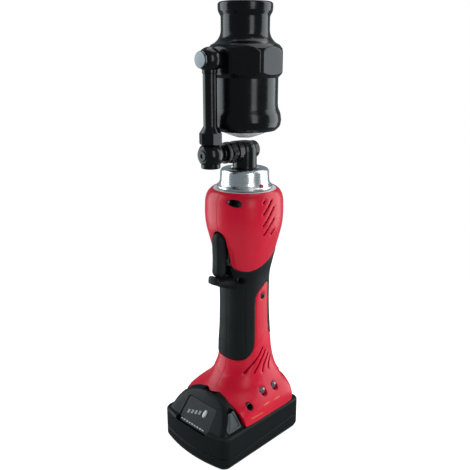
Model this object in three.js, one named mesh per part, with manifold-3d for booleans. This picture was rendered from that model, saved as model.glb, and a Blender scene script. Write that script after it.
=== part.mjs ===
// Cordless hydraulic punch driver with a swivelling flex head and a slide-on battery.
//
// Millimetres, +Z up. The origin is on the underside of the battery, below the axis of the handle.
// -Y is the front, where the trigger and the battery gauge are. X = 0 is the plane of symmetry.

import * as THREE from "three";
import { mergeVertices } from "three/addons/utils/BufferGeometryUtils.js";
import Module from "manifold-3d";

const wasm = await Module();
wasm.setup();

// ---------------------------------------------------------------- driving dimensions

const GAP = 0.3; // clearance between neighbouring pieces
const TOLERANCE = 0.03; // shortest edge that is kept
const LARGE = 24; // sides of a large round
const ROUND = 16; // sides of a middling round
const SMALL = 10; // sides of a small round
const FAR = 200; // reach of a cutting block that passes right through

// battery
const BATTERY_HALF = 38.4;
const BATTERY_FRONT = -61.5;
const BATTERY_BACK = 34;
const BATTERY_BULGE = 5.5;
const SKID_TOP = 11;
const RAIL_TOP = 29.5;
const DECK_TOP = 31.5;
const BATTERY_WALL = 1.9;
const CELL_RADIUS = 9.1;
const CELL_LENGTH = 65;
const CELL_PITCH_Y = 16.6;
const CELL_LOW_Z = 11.1;
const CELL_HIGH_Z = 19.4;
const CELL_FIRST_Y = -44.6;
const CELL_COUNT = 5;

// dome in front of the foot, with the charge gauge
const DOME_TOP = 52;
const DOME_BACK_TOP = -40.6;
const DOME_BACK_BOTTOM = -35.5;
const DOME_HALF_TOP = 24;
const DOME_HALF_BOTTOM = 35.5;
const WINDOW_TOP = { y: -50, z: 44.5, half: 17 };
const WINDOW_BOTTOM = { y: -63.5, z: 26, half: 18.6 };
const LATCH_TRAVEL = 2.5;

// handle shells
const WALL = 3.2;
const OVERMOULD = 1.7;
const OVERMOULD_PROUD = 0.25;
const FOOT_BOTTOM = 30;
const HOUSING_TOP = 224.5;
const SPLIT = GAP / 2;

// trigger
const TRIGGER_HALF = 5.7;
const TRIGGER_TOP = 191;
const TRIGGER_BOTTOM = 152.6;
const TRIGGER_AXIS_Y = -30.2;
const TRIGGER_PIVOT = { y: -22.5, z: 187 };
const TRIGGER_SLOT_HALF = 7.3;

// collar and elbow
const COLLAR_FLANGE_RADIUS = 23.1;
const COLLAR_RADIUS = 19.6;
const COLLAR_BOTTOM = 224.9;
const COLLAR_TOP = 240.6;
const ELBOW_Z = 254.7;
const ELBOW_RADIUS = 9.9;

// link
const LINK_Y = -37.8;
const LOWER_PIVOT_Z = 254.9;
const UPPER_PIVOT_Z = 325;
const LOWER_BALL_RADIUS = 10.2;
const UPPER_BALL_RADIUS = 9.2;
const ROD_RADIUS = 5.3;

// head
const HEAD_TOP = 367;
const LIP_RADIUS = 21.2;
const NECK_RADIUS = 18.9;
const OCTAGON_HALF = 28.5;
const BARREL_RADIUS = 26.1;
const BULGE_RADIUS = 29;
const HEAD_BOTTOM = 271;
const CHAMBER_RADIUS = 21;
const CHAMBER_TOP = 327;
const RAM_RADIUS = 12;
const STUD_RADIUS = 9.5;
const CAP_BOTTOM = 265.6;

// ---------------------------------------------------------------- materials

const finish = (color, roughness, metalness = 0) =>
  new THREE.MeshStandardMaterial({ color, roughness, metalness });

const RED = finish(0xb5102c, 0.38);
const SOFT_GRIP = finish(0x14191a, 0.75);
const CHARCOAL = finish(0x1c2224, 0.5);
const GLOSS_BLACK = finish(0x08090b, 0.18, 0.4);
const POLISHED = finish(0xd4d8d8, 0.15, 1);
const STEEL = finish(0x8d9194, 0.35, 1);
const PALE_RING = finish(0xd9dcdd, 0.4);
const LENS = finish(0x5f646c, 0.15);
const GREY = finish(0x4a5254, 0.5);
const CELL_WRAP = finish(0x2f6f87, 0.5);
const COPPER = finish(0xb87333, 0.4, 1);
const BOARD_GREEN = finish(0x1c5c38, 0.6);
const RUBBER = finish(0x101010, 0.9);
const MARK_RED = finish(0xa00f1f, 0.5);

// ---------------------------------------------------------------- solids

// Turns a closed three.js geometry into a solid, with its faces pointing out.
function solid(geometry) {
  const bare = geometry.index ? geometry.toNonIndexed() : geometry.clone();
  bare.deleteAttribute("normal");
  bare.deleteAttribute("uv");
  const merged = mergeVertices(bare, 1e-4);
  const place = merged.attributes.position;
  const faces = [];
  let volume = 0;
  const corner = [new THREE.Vector3(), new THREE.Vector3(), new THREE.Vector3()];
  for (let i = 0; i < merged.index.count; i += 3) {
    const face = [0, 1, 2].map((k) => merged.index.getX(i + k));
    if (new Set(face).size < 3) continue;
    face.forEach((v, k) => corner[k].fromBufferAttribute(place, v));
    volume += corner[0].dot(corner[1].clone().cross(corner[2]));
    faces.push(face);
  }
  if (volume < 0) faces.forEach((face) => face.reverse());
  const mesh = new wasm.Mesh({
    numProp: 3,
    vertProperties: new Float32Array(place.array),
    triVerts: new Uint32Array(faces.flat()),
  });
  return new wasm.Manifold(mesh);
}

// Turns a solid back into a three.js geometry, without edges shorter than the tolerance.
function geometryOf(shape) {
  const mesh = shape.simplify(TOLERANCE).getMesh();
  const geometry = new THREE.BufferGeometry();
  geometry.setAttribute("position", new THREE.BufferAttribute(new Float32Array(mesh.vertProperties), 3));
  geometry.setIndex(new THREE.BufferAttribute(new Uint32Array(mesh.triVerts), 1));
  geometry.computeVertexNormals();
  return geometry;
}

const join = (...shapes) => shapes.reduce((a, b) => a.add(b));

const cut = (shape, ...tools) => tools.reduce((a, b) => a.subtract(b), shape);

function block(x0, x1, y0, y1, z0, z1) {
  const geometry = new THREE.BoxGeometry(x1 - x0, y1 - y0, z1 - z0);
  geometry.translate((x0 + x1) / 2, (y0 + y1) / 2, (z0 + z1) / 2);
  return solid(geometry);
}

// A cylinder along an axis of the frame, from one coordinate to another on that axis.
function bar(axis, from, to, radius, centre, sides = ROUND, turn = 0) {
  const geometry = new THREE.CylinderGeometry(radius, radius, to - from, sides);
  geometry.rotateY(turn);
  const middle = (from + to) / 2;
  if (axis === "x") geometry.rotateZ(Math.PI / 2).translate(middle, centre[0], centre[1]);
  if (axis === "y") geometry.translate(centre[0], middle, centre[1]);
  if (axis === "z") geometry.rotateX(Math.PI / 2).translate(centre[0], centre[1], middle);
  return solid(geometry);
}

// A body of revolution about a vertical line, from [radius, height] pairs that start and end on it.
function turned(profile, sides = LARGE, x = 0, y = 0) {
  const points = profile.map(([radius, height]) => new THREE.Vector2(radius, height));
  const geometry = new THREE.LatheGeometry(points, sides);
  geometry.rotateX(Math.PI / 2);
  geometry.translate(x, y, 0);
  return solid(geometry);
}

// The same about a line along Y: pairs are [radius, y].
function turnedAlongY(profile, x, z, sides = ROUND) {
  const points = profile.map(([radius, height]) => new THREE.Vector2(radius, height));
  const geometry = new THREE.LatheGeometry(points, sides);
  geometry.translate(x, 0, z);
  return solid(geometry);
}

// Points of an arc as [radius, height] pairs, angles in degrees from the +radius direction.
function arc(cx, cy, radius, fromDegrees, toDegrees, steps) {
  return Array.from({ length: steps + 1 }, (_, i) => {
    const angle = THREE.MathUtils.degToRad(fromDegrees + ((toDegrees - fromDegrees) * i) / steps);
    return [cx + radius * Math.cos(angle), cy + radius * Math.sin(angle)];
  });
}

// A skin over rings of equal point counts, closed by a fan at each end.
function loft(rings) {
  const count = rings[0].length;
  const position = rings.flat().flatMap((p) => [p.x, p.y, p.z]);
  const index = [];
  for (let r = 0; r + 1 < rings.length; r += 1) {
    for (let i = 0; i < count; i += 1) {
      const a = r * count + i;
      const b = r * count + ((i + 1) % count);
      index.push(a, b, b + count, a, b + count, a + count);
    }
  }
  for (const [r, flip] of [[0, true], [rings.length - 1, false]]) {
    const centre = rings[r].reduce((sum, p) => sum.add(p), new THREE.Vector3()).divideScalar(count);
    const hub = position.length / 3;
    position.push(centre.x, centre.y, centre.z);
    for (let i = 0; i < count; i += 1) {
      const a = r * count + i;
      const b = r * count + ((i + 1) % count);
      index.push(...(flip ? [hub, b, a] : [hub, a, b]));
    }
  }
  const geometry = new THREE.BufferGeometry();
  geometry.setAttribute("position", new THREE.BufferAttribute(new Float32Array(position), 3));
  geometry.setIndex(index);
  return solid(geometry);
}

// An outline of [y, z] pairs pushed along X.
function sideProfile(outline, x0, x1) {
  const shape = new THREE.Shape(outline.map(([y, z]) => new THREE.Vector2(y, z)));
  const geometry = new THREE.ExtrudeGeometry(shape, { depth: x1 - x0, bevelEnabled: false });
  geometry.applyMatrix4(new THREE.Matrix4().set(0, 0, 1, x0, 1, 0, 0, 0, 0, 1, 0, 0, 0, 0, 0, 1));
  return solid(geometry);
}

// A slot of one width along a route of [y, z] points, pushed along X.
function slotAlong(route, width, x0, x1) {
  const near = [];
  const far = [];
  route.forEach(([y, z], i) => {
    const [y0, z0] = route[Math.max(i - 1, 0)];
    const [y1, z1] = route[Math.min(i + 1, route.length - 1)];
    const length = Math.hypot(y1 - y0, z1 - z0);
    const side = [(-(z1 - z0) / length) * (width / 2), ((y1 - y0) / length) * (width / 2)];
    near.push([y + side[0], z + side[1]]);
    far.unshift([y - side[0], z - side[1]]);
  });
  return sideProfile([...near, ...far], x0, x1);
}

// Everything on one side of the plane of symmetry, short of half the gap between the shells.
function halfSpace(side) {
  const [low, high] = side > 0 ? [SPLIT, FAR] : [-FAR, -SPLIT];
  return block(low, high, -FAR, FAR, -FAR, 2 * FAR);
}

// ---------------------------------------------------------------- the object

const tool = new THREE.Group();

function add(name, shape, material) {
  const mesh = new THREE.Mesh(geometryOf(shape), material);
  mesh.name = name;
  tool.add(mesh);
  return mesh;
}

// ---------------------------------------------------------------- battery

// A plan outline with round corners and a front edge that bulges forward.
function plan(half, front, back, bulge, frontCorner, backCorner, z) {
  const points = [];
  const corner = (cx, cy, radius, start) => {
    for (let i = 0; i <= 4; i += 1) {
      const angle = THREE.MathUtils.degToRad(start + (90 * i) / 4);
      points.push([cx + radius * Math.cos(angle), cy + radius * Math.sin(angle)]);
    }
  };
  corner(half - backCorner, back - backCorner, backCorner, 0);
  corner(-half + backCorner, back - backCorner, backCorner, 90);
  corner(-half + frontCorner, front + frontCorner, frontCorner, 180);
  const flat = half - frontCorner;
  for (let i = 1; i < 6; i += 1) {
    const x = -flat + (2 * flat * i) / 6;
    points.push([x, front]);
  }
  corner(half - frontCorner, front + frontCorner, frontCorner, 270);
  return points.map(([x, y]) => {
    const forward = Math.max(0, (frontCorner + front - y) / frontCorner);
    const bend = bulge * (1 - (x / half) ** 2) * Math.min(1, forward);
    return new THREE.Vector3(x, y - bend, z);
  });
}

function batteryPlan(z, inset) {
  return plan(
    BATTERY_HALF - inset,
    BATTERY_FRONT + inset,
    BATTERY_BACK - inset,
    BATTERY_BULGE,
    Math.max(5.5 - inset / 2, 2.5),
    Math.max(6 - inset / 2, 2),
    z,
  );
}

const domeBackAt = (z) =>
  DOME_BACK_BOTTOM + ((z - RAIL_TOP) / (DOME_TOP - RAIL_TOP)) * (DOME_BACK_TOP - DOME_BACK_BOTTOM);

const batteryBase = cut(
  loft([batteryPlan(0, 2.2), batteryPlan(1.4, 0.7), batteryPlan(4, 0), batteryPlan(SKID_TOP, 0)]),
  loft([batteryPlan(1.7, 3.2), batteryPlan(3, BATTERY_WALL), batteryPlan(SKID_TOP + 1, BATTERY_WALL)]),
);
add("battery_base", batteryBase, CHARCOAL);

const COVER_BOTTOM = SKID_TOP + GAP;

// Slope of the dome from its brow to the gauge window and the nose.
const domeFrontAt = (z) => {
  const slope = (WINDOW_BOTTOM.y - WINDOW_TOP.y) / (WINDOW_BOTTOM.z - WINDOW_TOP.z);
  return WINDOW_TOP.y + (z - WINDOW_TOP.z) * slope;
};

function domeRing(z, inset) {
  const share = Math.max(0, (z - RAIL_TOP) / (DOME_TOP - RAIL_TOP));
  const half = THREE.MathUtils.lerp(DOME_HALF_BOTTOM, DOME_HALF_TOP, share ** 1.6);
  const front = Math.min(domeFrontAt(z) + 1.2, domeBackAt(z) - 4);
  return plan(half - inset, front + inset, domeBackAt(z) - inset, 1.6, 6, 2, z);
}

const DOME_LEVELS = [22, RAIL_TOP, 34, 38, 42, 46, 49, DOME_TOP - 0.8];
const domeOuter = loft([...DOME_LEVELS.map((z) => domeRing(z, 0)), domeRing(DOME_TOP, 1.2)]);
const domeInner = block(-22, 22, -53, -42.5, RAIL_TOP - 3, 41);

const deck = loft([
  plan(34, -50, 28, 0, 3, 3, RAIL_TOP - 2),
  plan(34, -50, 28, 0, 3, 3, DECK_TOP),
]);
const railStem = block(-22, 22, -38, 26.5, DECK_TOP - 1, 36.2);
const railFlange = block(-27, 27, -38, 26.5, 36, 40);

const coverOuter = join(
  loft([
    batteryPlan(COVER_BOTTOM, 0.4),
    batteryPlan(COVER_BOTTOM + 0.8, 0),
    batteryPlan(RAIL_TOP - 2.4, 0),
    batteryPlan(RAIL_TOP - 0.8, 0.6),
    batteryPlan(RAIL_TOP, 1.6),
  ]),
  domeOuter,
  deck,
  railStem,
  railFlange,
);
const coverInner = join(
  loft([
    batteryPlan(COVER_BOTTOM - 1, BATTERY_WALL),
    batteryPlan(RAIL_TOP - 3, BATTERY_WALL),
    batteryPlan(RAIL_TOP - 0.9, 4),
  ]),
  domeInner,
);
const slots = [-15, -5, 5, 15].map((x) => block(x - 1.4, x + 1.4, 4, FAR, 35, FAR));

// Frame of the sloping gauge window: along X, down the slope, and out of the face.
const windowSlope = Math.atan2(WINDOW_TOP.z - WINDOW_BOTTOM.z, WINDOW_TOP.y - WINDOW_BOTTOM.y);
const windowLength = Math.hypot(WINDOW_TOP.z - WINDOW_BOTTOM.z, WINDOW_TOP.y - WINDOW_BOTTOM.y);
const windowMatrix = new THREE.Matrix4()
  .makeTranslation(0, (WINDOW_TOP.y + WINDOW_BOTTOM.y) / 2, (WINDOW_TOP.z + WINDOW_BOTTOM.z) / 2)
  .multiply(new THREE.Matrix4().makeRotationX(windowSlope));

function onWindow(outline, from, to) {
  const shape = new THREE.Shape(outline.map(([x, y]) => new THREE.Vector2(x, y)));
  const geometry = new THREE.ExtrudeGeometry(shape, { depth: to - from, bevelEnabled: false });
  geometry.translate(0, 0, from);
  geometry.applyMatrix4(windowMatrix);
  return solid(geometry);
}

function windowOutline(grow) {
  const top = windowLength / 2 + grow;
  return [
    [-WINDOW_BOTTOM.half - grow, -top],
    [WINDOW_BOTTOM.half + grow, -top],
    [WINDOW_TOP.half + grow, top],
    [-WINDOW_TOP.half - grow, top],
  ];
}

const BUTTON = { x: 6.2, y: 3.1, radius: 2.9 };
const buttonHole = (radius, from, to) => {
  const circle = arc(BUTTON.x, BUTTON.y, radius, 0, 337.5, 15);
  return onWindow(circle, from, to);
};

// The latch buttons sit in pockets in the sides of the dome.
const LATCH_OUTLINE = [
  [-38.2, 30.8],
  [-54.4, 30.8],
  [-56, 33.2],
  [-47.4, 46],
  [-43.4, 47.6],
  [-41.2, 44.6],
];
const grown = (outline, amount) => {
  const cy = outline.reduce((sum, p) => sum + p[0], 0) / outline.length;
  const cz = outline.reduce((sum, p) => sum + p[1], 0) / outline.length;
  return outline.map(([y, z]) => {
    const reach = Math.hypot(y - cy, z - cz);
    return [y + ((y - cy) / reach) * amount, z + ((z - cz) / reach) * amount];
  });
};
const LATCH_FLOOR = 24.4;
const LATCH_INNER = LATCH_FLOOR + LATCH_TRAVEL + GAP;
const outward = (side, from) => (side > 0 ? [from, FAR] : [-FAR, -from]);
const latchPocket = (side) => sideProfile(grown(LATCH_OUTLINE, 0.5), ...outward(side, LATCH_FLOOR));

const batteryCover = cut(
  coverOuter,
  coverInner,
  ...slots,
  onWindow(windowOutline(0), -2.2, 6),
  buttonHole(BUTTON.radius + 0.8, -6, 6),
  latchPocket(1),
  latchPocket(-1),
);
add("battery_cover", batteryCover, CHARCOAL);

add(
  "gauge_window",
  cut(onWindow(windowOutline(-GAP), -1.9, -0.3), buttonHole(BUTTON.radius + GAP, -4, 4)),
  CHARCOAL,
);
add("gauge_button", buttonHole(BUTTON.radius, -3.2, 0.3), GREY);

for (const side of [1, -1]) {
  const band = sideProfile(LATCH_OUTLINE, ...outward(side, LATCH_INNER));
  add(side > 0 ? "latch_right" : "latch_left", domeOuter.intersect(band), GREY);
}

for (let i = 0; i < CELL_COUNT; i += 1) {
  const y = CELL_FIRST_Y + i * CELL_PITCH_Y;
  const z = i % 2 === 0 ? CELL_LOW_Z : CELL_HIGH_Z;
  const cell = bar("x", -CELL_LENGTH / 2, CELL_LENGTH / 2, CELL_RADIUS, [y, z], SMALL);
  add(`cell_${i + 1}`, cell, CELL_WRAP);
}

// ---------------------------------------------------------------- handle shells

// Sections of the handle: height, half width, reach forward, reach backward, and how square
// the front and the back quarter are.
const SECTIONS = [
  [30, 37.3, 46, 31, 7.0, 7.0],
  [35, 37.2, 46, 30.9, 6.6, 6.6],
  [40, 36.4, 45, 30.4, 5.2, 5.8],
  [47, 33.6, 43.4, 30.0, 3.1, 4.6],
  [52.5, 28.9, 41, 29.5, 2.3, 3.5],
  [55.5, 27.0, 36.6, 29.0, 2.2, 3.1],
  [59, 24.9, 31.4, 28.4, 2.2, 2.8],
  [65, 22.9, 25.6, 27.8, 2.3, 2.5],
  [77, 21.2, 22.4, 25.6, 2.3, 2.4],
  [89, 20.6, 21.9, 24.6, 2.3, 2.3],
  [100, 19.9, 21.2, 23.6, 2.3, 2.3],
  [135, 19.2, 21.0, 22.1, 2.3, 2.3],
  [151, 19.9, 21.6, 22.5, 2.3, 2.3],
  [162, 22.4, 24.1, 24.3, 2.3, 2.3],
  [173, 24.9, 26.4, 26.4, 2.3, 2.3],
  [184, 27.7, 29.1, 28.8, 2.3, 2.3],
  [194, 30.0, 31.4, 30.7, 2.3, 2.3],
  [210, 30.7, 32.1, 31.2, 2.3, 2.3],
  [216, 30.3, 31.6, 30.8, 2.3, 2.3],
  [220.5, 29.3, 30.4, 29.8, 2.2, 2.2],
  [223.2, 27.8, 28.6, 28.2, 2.1, 2.1],
  [224.5, 26.6, 26.8, 26.6, 2.0, 2.0],
];

function sectionAt(z) {
  const above = Math.max(1, SECTIONS.findIndex((s) => s[0] >= z));
  const [low, high] = [SECTIONS[above - 1], SECTIONS[above]];
  const share = THREE.MathUtils.clamp((z - low[0]) / (high[0] - low[0]), 0, 1);
  return low.map((value, k) => value + (high[k] - value) * share);
}

function handleRing(z, inset, points) {
  const [, half, front, back, squareFront, squareBack] = sectionAt(z);
  return Array.from({ length: points }, (_, i) => {
    const angle = (2 * Math.PI * (i + 0.5)) / points;
    const c = Math.cos(angle);
    const s = Math.sin(angle);
    const power = 2 / (s < 0 ? squareFront : squareBack);
    const reach = s < 0 ? front : back;
    const x = (half - inset) * Math.sign(c) * Math.abs(c) ** power;
    const y = (reach - inset) * Math.sign(s) * Math.abs(s) ** power;
    return new THREE.Vector3(x, y, z);
  });
}

const LEVELS = SECTIONS.map((s) => s[0]);
const RING = 24;
const handleOuter = loft(LEVELS.map((z) => handleRing(z, 0, RING)));
const gripOuter = loft(LEVELS.map((z) => handleRing(z, -OVERMOULD_PROUD, RING)));
const gripInner = loft(LEVELS.map((z) => handleRing(z, OVERMOULD, RING)));
const gripSeat = loft(LEVELS.map((z) => handleRing(z, OVERMOULD + GAP, RING)));
const CAVITY_LEVELS = [29, 40, 53, 65, 100, 151, 184, 201, 221];
const cavityRing = (z) => handleRing(Math.max(z, FOOT_BOTTOM), WALL, ROUND).map((p) => p.setZ(z));
const cavity = loft(CAVITY_LEVELS.map(cavityRing));

// Where the soft grip covers the shells, seen from the side.
const GRIP_OUTLINE = [
  [-60, 178],
  [-27.2, 178],
  [-25.6, 174],
  [-23.2, 163.5],
  [-20.4, 159.4],
  [-15.5, 158.2],
  [-8.5, 158.8],
  [1.4, 162.6],
  [10.5, 167.9],
  [19, 173],
  [60, 180],
  [60, 88],
  [18, 91],
  [13.4, 95],
  [12, 101],
  [12.4, 136],
  [11.6, 141.2],
  [8.4, 143.2],
  [2.5, 140.4],
  [-3.6, 135.4],
  [-5.4, 129],
  [-5.8, 110],
  [-6.9, 92],
  [-9.4, 83.5],
  [-14.4, 78.2],
  [-19.6, 76.2],
  [-60, 74],
];
const GUARD_OUTLINE = [
  [-18, 151.8],
  [-34.6, 151.2],
  [-37.4, 148.6],
  [-36.4, 146],
  [-31, 142.6],
  [-18, 139.5],
];
const guard = sideProfile(GUARD_OUTLINE, -9.5, 9.5);
const guardRound = loft(
  [138, 143, 147, 150, 153].map((z) =>
    Array.from({ length: 24 }, (_, i) => {
      const angle = (2 * Math.PI * i) / 24;
      return new THREE.Vector3(9.6 * Math.cos(angle), -24 + 13.6 * Math.sin(angle), z);
    }),
  ),
);
const triggerSlot = join(
  block(-TRIGGER_SLOT_HALF, TRIGGER_SLOT_HALF, -FAR, -15, 152, TRIGGER_TOP - TRIGGER_SLOT_HALF + 1.6),
  bar("y", -FAR, -15, TRIGGER_SLOT_HALF, [0, TRIGGER_TOP - TRIGGER_SLOT_HALF + 1.6], ROUND),
);

// The seat of the soft grip in the shells, and the dome's back face on the foot.
const gripMask = sideProfile(GRIP_OUTLINE, -FAR, FAR);
const domeClear = sideProfile(
  [
    [-FAR, 20],
    [domeBackAt(20) + GAP, 20],
    [domeBackAt(RAIL_TOP) + GAP, RAIL_TOP],
    [domeBackAt(DOME_TOP + 1) + GAP, DOME_TOP + 1],
    [-FAR, DOME_TOP + 1],
  ],
  -FAR,
  FAR,
);
const deckClear = join(
  block(-34.4, 34.4, -FAR, 28.4, 20, DECK_TOP + GAP),
  block(-22.4, 22.4, -FAR, 26.9, 20, 36.6),
  block(-27.4, 27.4, -FAR, 26.9, 35.7, 40.4),
);
const footRails = (side) => {
  const [low, high] = side > 0 ? [22.6, 33.5] : [-33.5, -22.6];
  return block(low, high, -33, 27, 32, 35.6).intersect(handleOuter);
};

const UPPER_VENTS = [
  [[-9.4, 216.2], [-7.2, 218.6]],
  [[-9.6, 207], [0.2, 218.4]],
  [[-9.4, 197.6], [2.4, 212.6]],
  [[-7.6, 189.6], [2.6, 203.2]],
  [[0.8, 189], [4.4, 193.2]],
];
const FOOT_VENTS = [
  [[2.6, 84.6], [-7.4, 74.2], [-18, 65]],
  [[6.6, 80.8], [-2, 71.8], [-9.8, 63.8]],
  [[11, 76.4], [3.6, 69.6], [-0.6, 62.4]],
  [[15, 72.8], [9.8, 67.6], [7.4, 62.4]],
];
const VENT_WIDTH = 1.5;

// Screws enter from the +X side. The seat is the x that the head rests at.
const SCREWS = [
  { y: -27.2, z: 217.4, seat: 9 },
  { y: 26, z: 204, seat: 15 },
  { y: -17, z: 149.5, seat: 8 },
  { y: 3.4, z: 132, seat: 16.8 },
  { y: 20.6, z: 166, seat: 9.6 },
  { y: -28.4, z: 45, seat: 28.2 },
  { y: 26.4, z: 52, seat: 15 },
];
const SCREW_HEAD_RADIUS = 2.5;
const COUNTERBORE = 3;
const PILOT_RADIUS = 1.6;
const BOSS_RADIUS = 4.1;
const counterbores = SCREWS.map(({ y, z, seat }) =>
  join(
    bar("x", seat, FAR, COUNTERBORE, [y, z], SMALL),
    bar("x", seat - 5, seat + 1, PILOT_RADIUS, [y, z], SMALL),
  ),
);
const screwBosses = join(
  ...SCREWS.map(({ y, z, seat }) => bar("x", seat - 0.9, seat + 2.7, BOSS_RADIUS, [y, z], ROUND)),
);

const LIGHTS = [
  { y: -7.6, z: 49.4 },
  { y: 7, z: 48.8 },
];
const LIGHT_RADIUS = 2.7;
const lightHoles = LIGHTS.map(({ y, z }) => bar("x", 22, FAR, LIGHT_RADIUS + 0.9, [y, z], ROUND));

// A cut may leave crumbs behind: the piece is the largest body.
const largest = (shape) => shape.decompose().sort((a, b) => b.volume() - a.volume())[0];

const VENT_DEPTH_FROM = 8;
const MOUTH_RADIUS = 26.7;
const gripRecess = gripMask.intersect(cut(join(gripOuter, handleOuter), gripSeat));
const headMouth = bar("z", 215, 230, MOUTH_RADIUS, [0, 0], LARGE);

for (const side of [1, -1]) {
  const vents = [...UPPER_VENTS, ...FOOT_VENTS].map((route) =>
    slotAlong(route, VENT_WIDTH, ...outward(side, VENT_DEPTH_FROM)),
  );
  const bosses = side > 0 ? [cut(screwBosses.intersect(handleOuter), gripRecess)] : [];
  const skin = cut(handleOuter, gripRecess, cavity);
  const shell = join(skin, footRails(side), ...bosses).intersect(halfSpace(side));
  const holes = side > 0 ? [...counterbores, ...lightHoles] : [];
  const housing = cut(shell, triggerSlot, domeClear, deckClear, headMouth, ...vents, ...holes);
  add(side > 0 ? "housing_right" : "housing_left", largest(housing), RED);

  const sleeve = cut(gripOuter.intersect(gripMask), gripInner);
  const nose = cut(guard.intersect(guardRound), gripInner);
  const skinned = join(cut(sleeve, triggerSlot), nose).intersect(halfSpace(side));
  const soft = side > 0 ? cut(skinned, ...counterbores) : skinned;
  add(side > 0 ? "grip_right" : "grip_left", largest(soft), SOFT_GRIP);
}

SCREWS.forEach(({ y, z, seat }, i) => {
  const screw = join(
    bar("x", seat + GAP, seat + 2.6, SCREW_HEAD_RADIUS, [y, z], SMALL),
    bar("x", seat - 2.2, seat + 1, 1.2, [y, z], SMALL),
  );
  add(`housing_screw_${i + 1}`, screw, STEEL);
});

LIGHTS.forEach(({ y, z }, i) => {
  const lens = join(
    bar("x", 24, 30, LIGHT_RADIUS, [y, z], ROUND),
    bar("x", 29, 30.8, LIGHT_RADIUS - 0.6, [y, z], ROUND),
  );
  add(`status_light_${i + 1}`, lens, LENS);
});

// ---------------------------------------------------------------- trigger

const triggerLow = TRIGGER_BOTTOM + TRIGGER_HALF;
const triggerHigh = TRIGGER_TOP - TRIGGER_HALF;
const triggerRing = (z, scale) => {
  const bow = 0.9 * Math.sin((Math.PI * (z - TRIGGER_BOTTOM)) / (TRIGGER_TOP - TRIGGER_BOTTOM));
  return Array.from({ length: 14 }, (_, i) => {
    const angle = (2 * Math.PI * i) / 14;
    const x = TRIGGER_HALF * scale * Math.cos(angle);
    return new THREE.Vector3(x, TRIGGER_AXIS_Y + bow + TRIGGER_HALF * scale * Math.sin(angle), z);
  });
};
const domeSteps = [0.3, 0.75, 0.95];
const endDrop = (scale) => TRIGGER_HALF * Math.sqrt(1 - scale * scale);
const triggerRings = [
  ...domeSteps.map((s) => triggerRing(triggerLow - endDrop(s), s)),
  ...[0, 0.5, 1].map((s) => triggerRing(THREE.MathUtils.lerp(triggerLow, triggerHigh, s), 1)),
  ...domeSteps.toReversed().map((s) => triggerRing(triggerHigh + endDrop(s), s)),
];
const triggerWeb = sideProfile(
  [[-30, 160], [-25, 160], [-19.6, 182], [-19.6, 189.6], [-30, 189.6]],
  -2.6,
  2.6,
);
const PIN_RADIUS = 2;
add(
  "trigger",
  cut(
    join(loft(triggerRings), triggerWeb),
    bar("x", -FAR, FAR, PIN_RADIUS + GAP, [TRIGGER_PIVOT.y, TRIGGER_PIVOT.z], SMALL),
  ),
  SOFT_GRIP,
);
const pivotCentre = [TRIGGER_PIVOT.y, TRIGGER_PIVOT.z];
add("trigger_pin", bar("x", -9.2, 9.2, PIN_RADIUS, pivotCentre, SMALL), STEEL);
add(
  "trigger_switch",
  join(block(-5, 5, -18.6, -15.4, 160, 180), block(-1.6, 1.6, -19.8, -18.6, 163, 166)),
  CHARCOAL,
);

// ---------------------------------------------------------------- motor, gearbox and pump

const MOTOR_RADIUS = 14;
const MOTOR_LOW = 90;
const MOTOR_HIGH = 138;
const SHAFT_RADIUS = 2;
add(
  "motor_can",
  cut(
    bar("z", MOTOR_LOW, MOTOR_HIGH, MOTOR_RADIUS, [0, 0], LARGE),
    bar("z", MOTOR_LOW + 2, MOTOR_HIGH - 2, MOTOR_RADIUS - 2.4, [0, 0], ROUND),
    bar("z", MOTOR_HIGH - 3, MOTOR_HIGH + 1, SHAFT_RADIUS + 1, [0, 0], SMALL),
  ),
  STEEL,
);
add(
  "rotor",
  turned(
    [
      [0, MOTOR_LOW + 3],
      [SHAFT_RADIUS, MOTOR_LOW + 3],
      [SHAFT_RADIUS, MOTOR_LOW + 8],
      [9.5, MOTOR_LOW + 8],
      [9.5, MOTOR_HIGH - 8],
      [SHAFT_RADIUS, MOTOR_HIGH - 8],
      [SHAFT_RADIUS, MOTOR_HIGH + 6],
      [3.4, MOTOR_HIGH + 6],
      [3.4, MOTOR_HIGH + 12],
      [0, MOTOR_HIGH + 12],
    ],
    ROUND,
  ),
  COPPER,
);
const GEARBOX_LOW = MOTOR_HIGH + GAP;
const GEARBOX_HIGH = 168;
add(
  "gearbox_housing",
  cut(
    bar("z", GEARBOX_LOW, GEARBOX_HIGH, 14.6, [0, 0], LARGE),
    bar("z", GEARBOX_LOW + 2, GEARBOX_HIGH - 2, 12.4, [0, 0], LARGE),
    bar("z", GEARBOX_LOW - 1, GEARBOX_HIGH + 1, 4.4, [0, 0], ROUND),
  ),
  STEEL,
);
const ECCENTRICITY = 1.5;
add(
  "pump_cam",
  join(
    bar("z", 154, 160, 11.6, [0, 0], ROUND),
    bar("z", 159, 186, 4, [0, 0], ROUND),
    bar("z", 171, 182, 7.5, [0, ECCENTRICITY], ROUND),
  ),
  STEEL,
);
const PUMP_LOW = 188;
const PUMP_HIGH = 221;
const PLUNGER_Z = 176.5;
const PLUNGER_RADIUS = 3;
const pumpBarrel = bar("z", PUMP_LOW, PUMP_HIGH, 16.5, [0, 0], LARGE);
const plungerGuide = block(-7.5, 7.5, 10.4, 15.8, 170, PUMP_LOW + 1);
const pumpBlock = cut(
  join(pumpBarrel, plungerGuide),
  bar("y", 0, FAR, PLUNGER_RADIUS + GAP, [0, PLUNGER_Z], SMALL),
  bar("z", 200, 230, 7.4, [0, 0], ROUND),
);
add("pump_block", pumpBlock, STEEL);
add("pump_plunger", bar("y", 9.4, 15.4, PLUNGER_RADIUS, [0, PLUNGER_Z], SMALL), POLISHED);
add(
  "oil_bladder",
  cut(bar("z", 194, 216, 21.6, [0, 0], LARGE), bar("z", 190, 220, 16.8, [0, 0], LARGE)),
  RUBBER,
);
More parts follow.
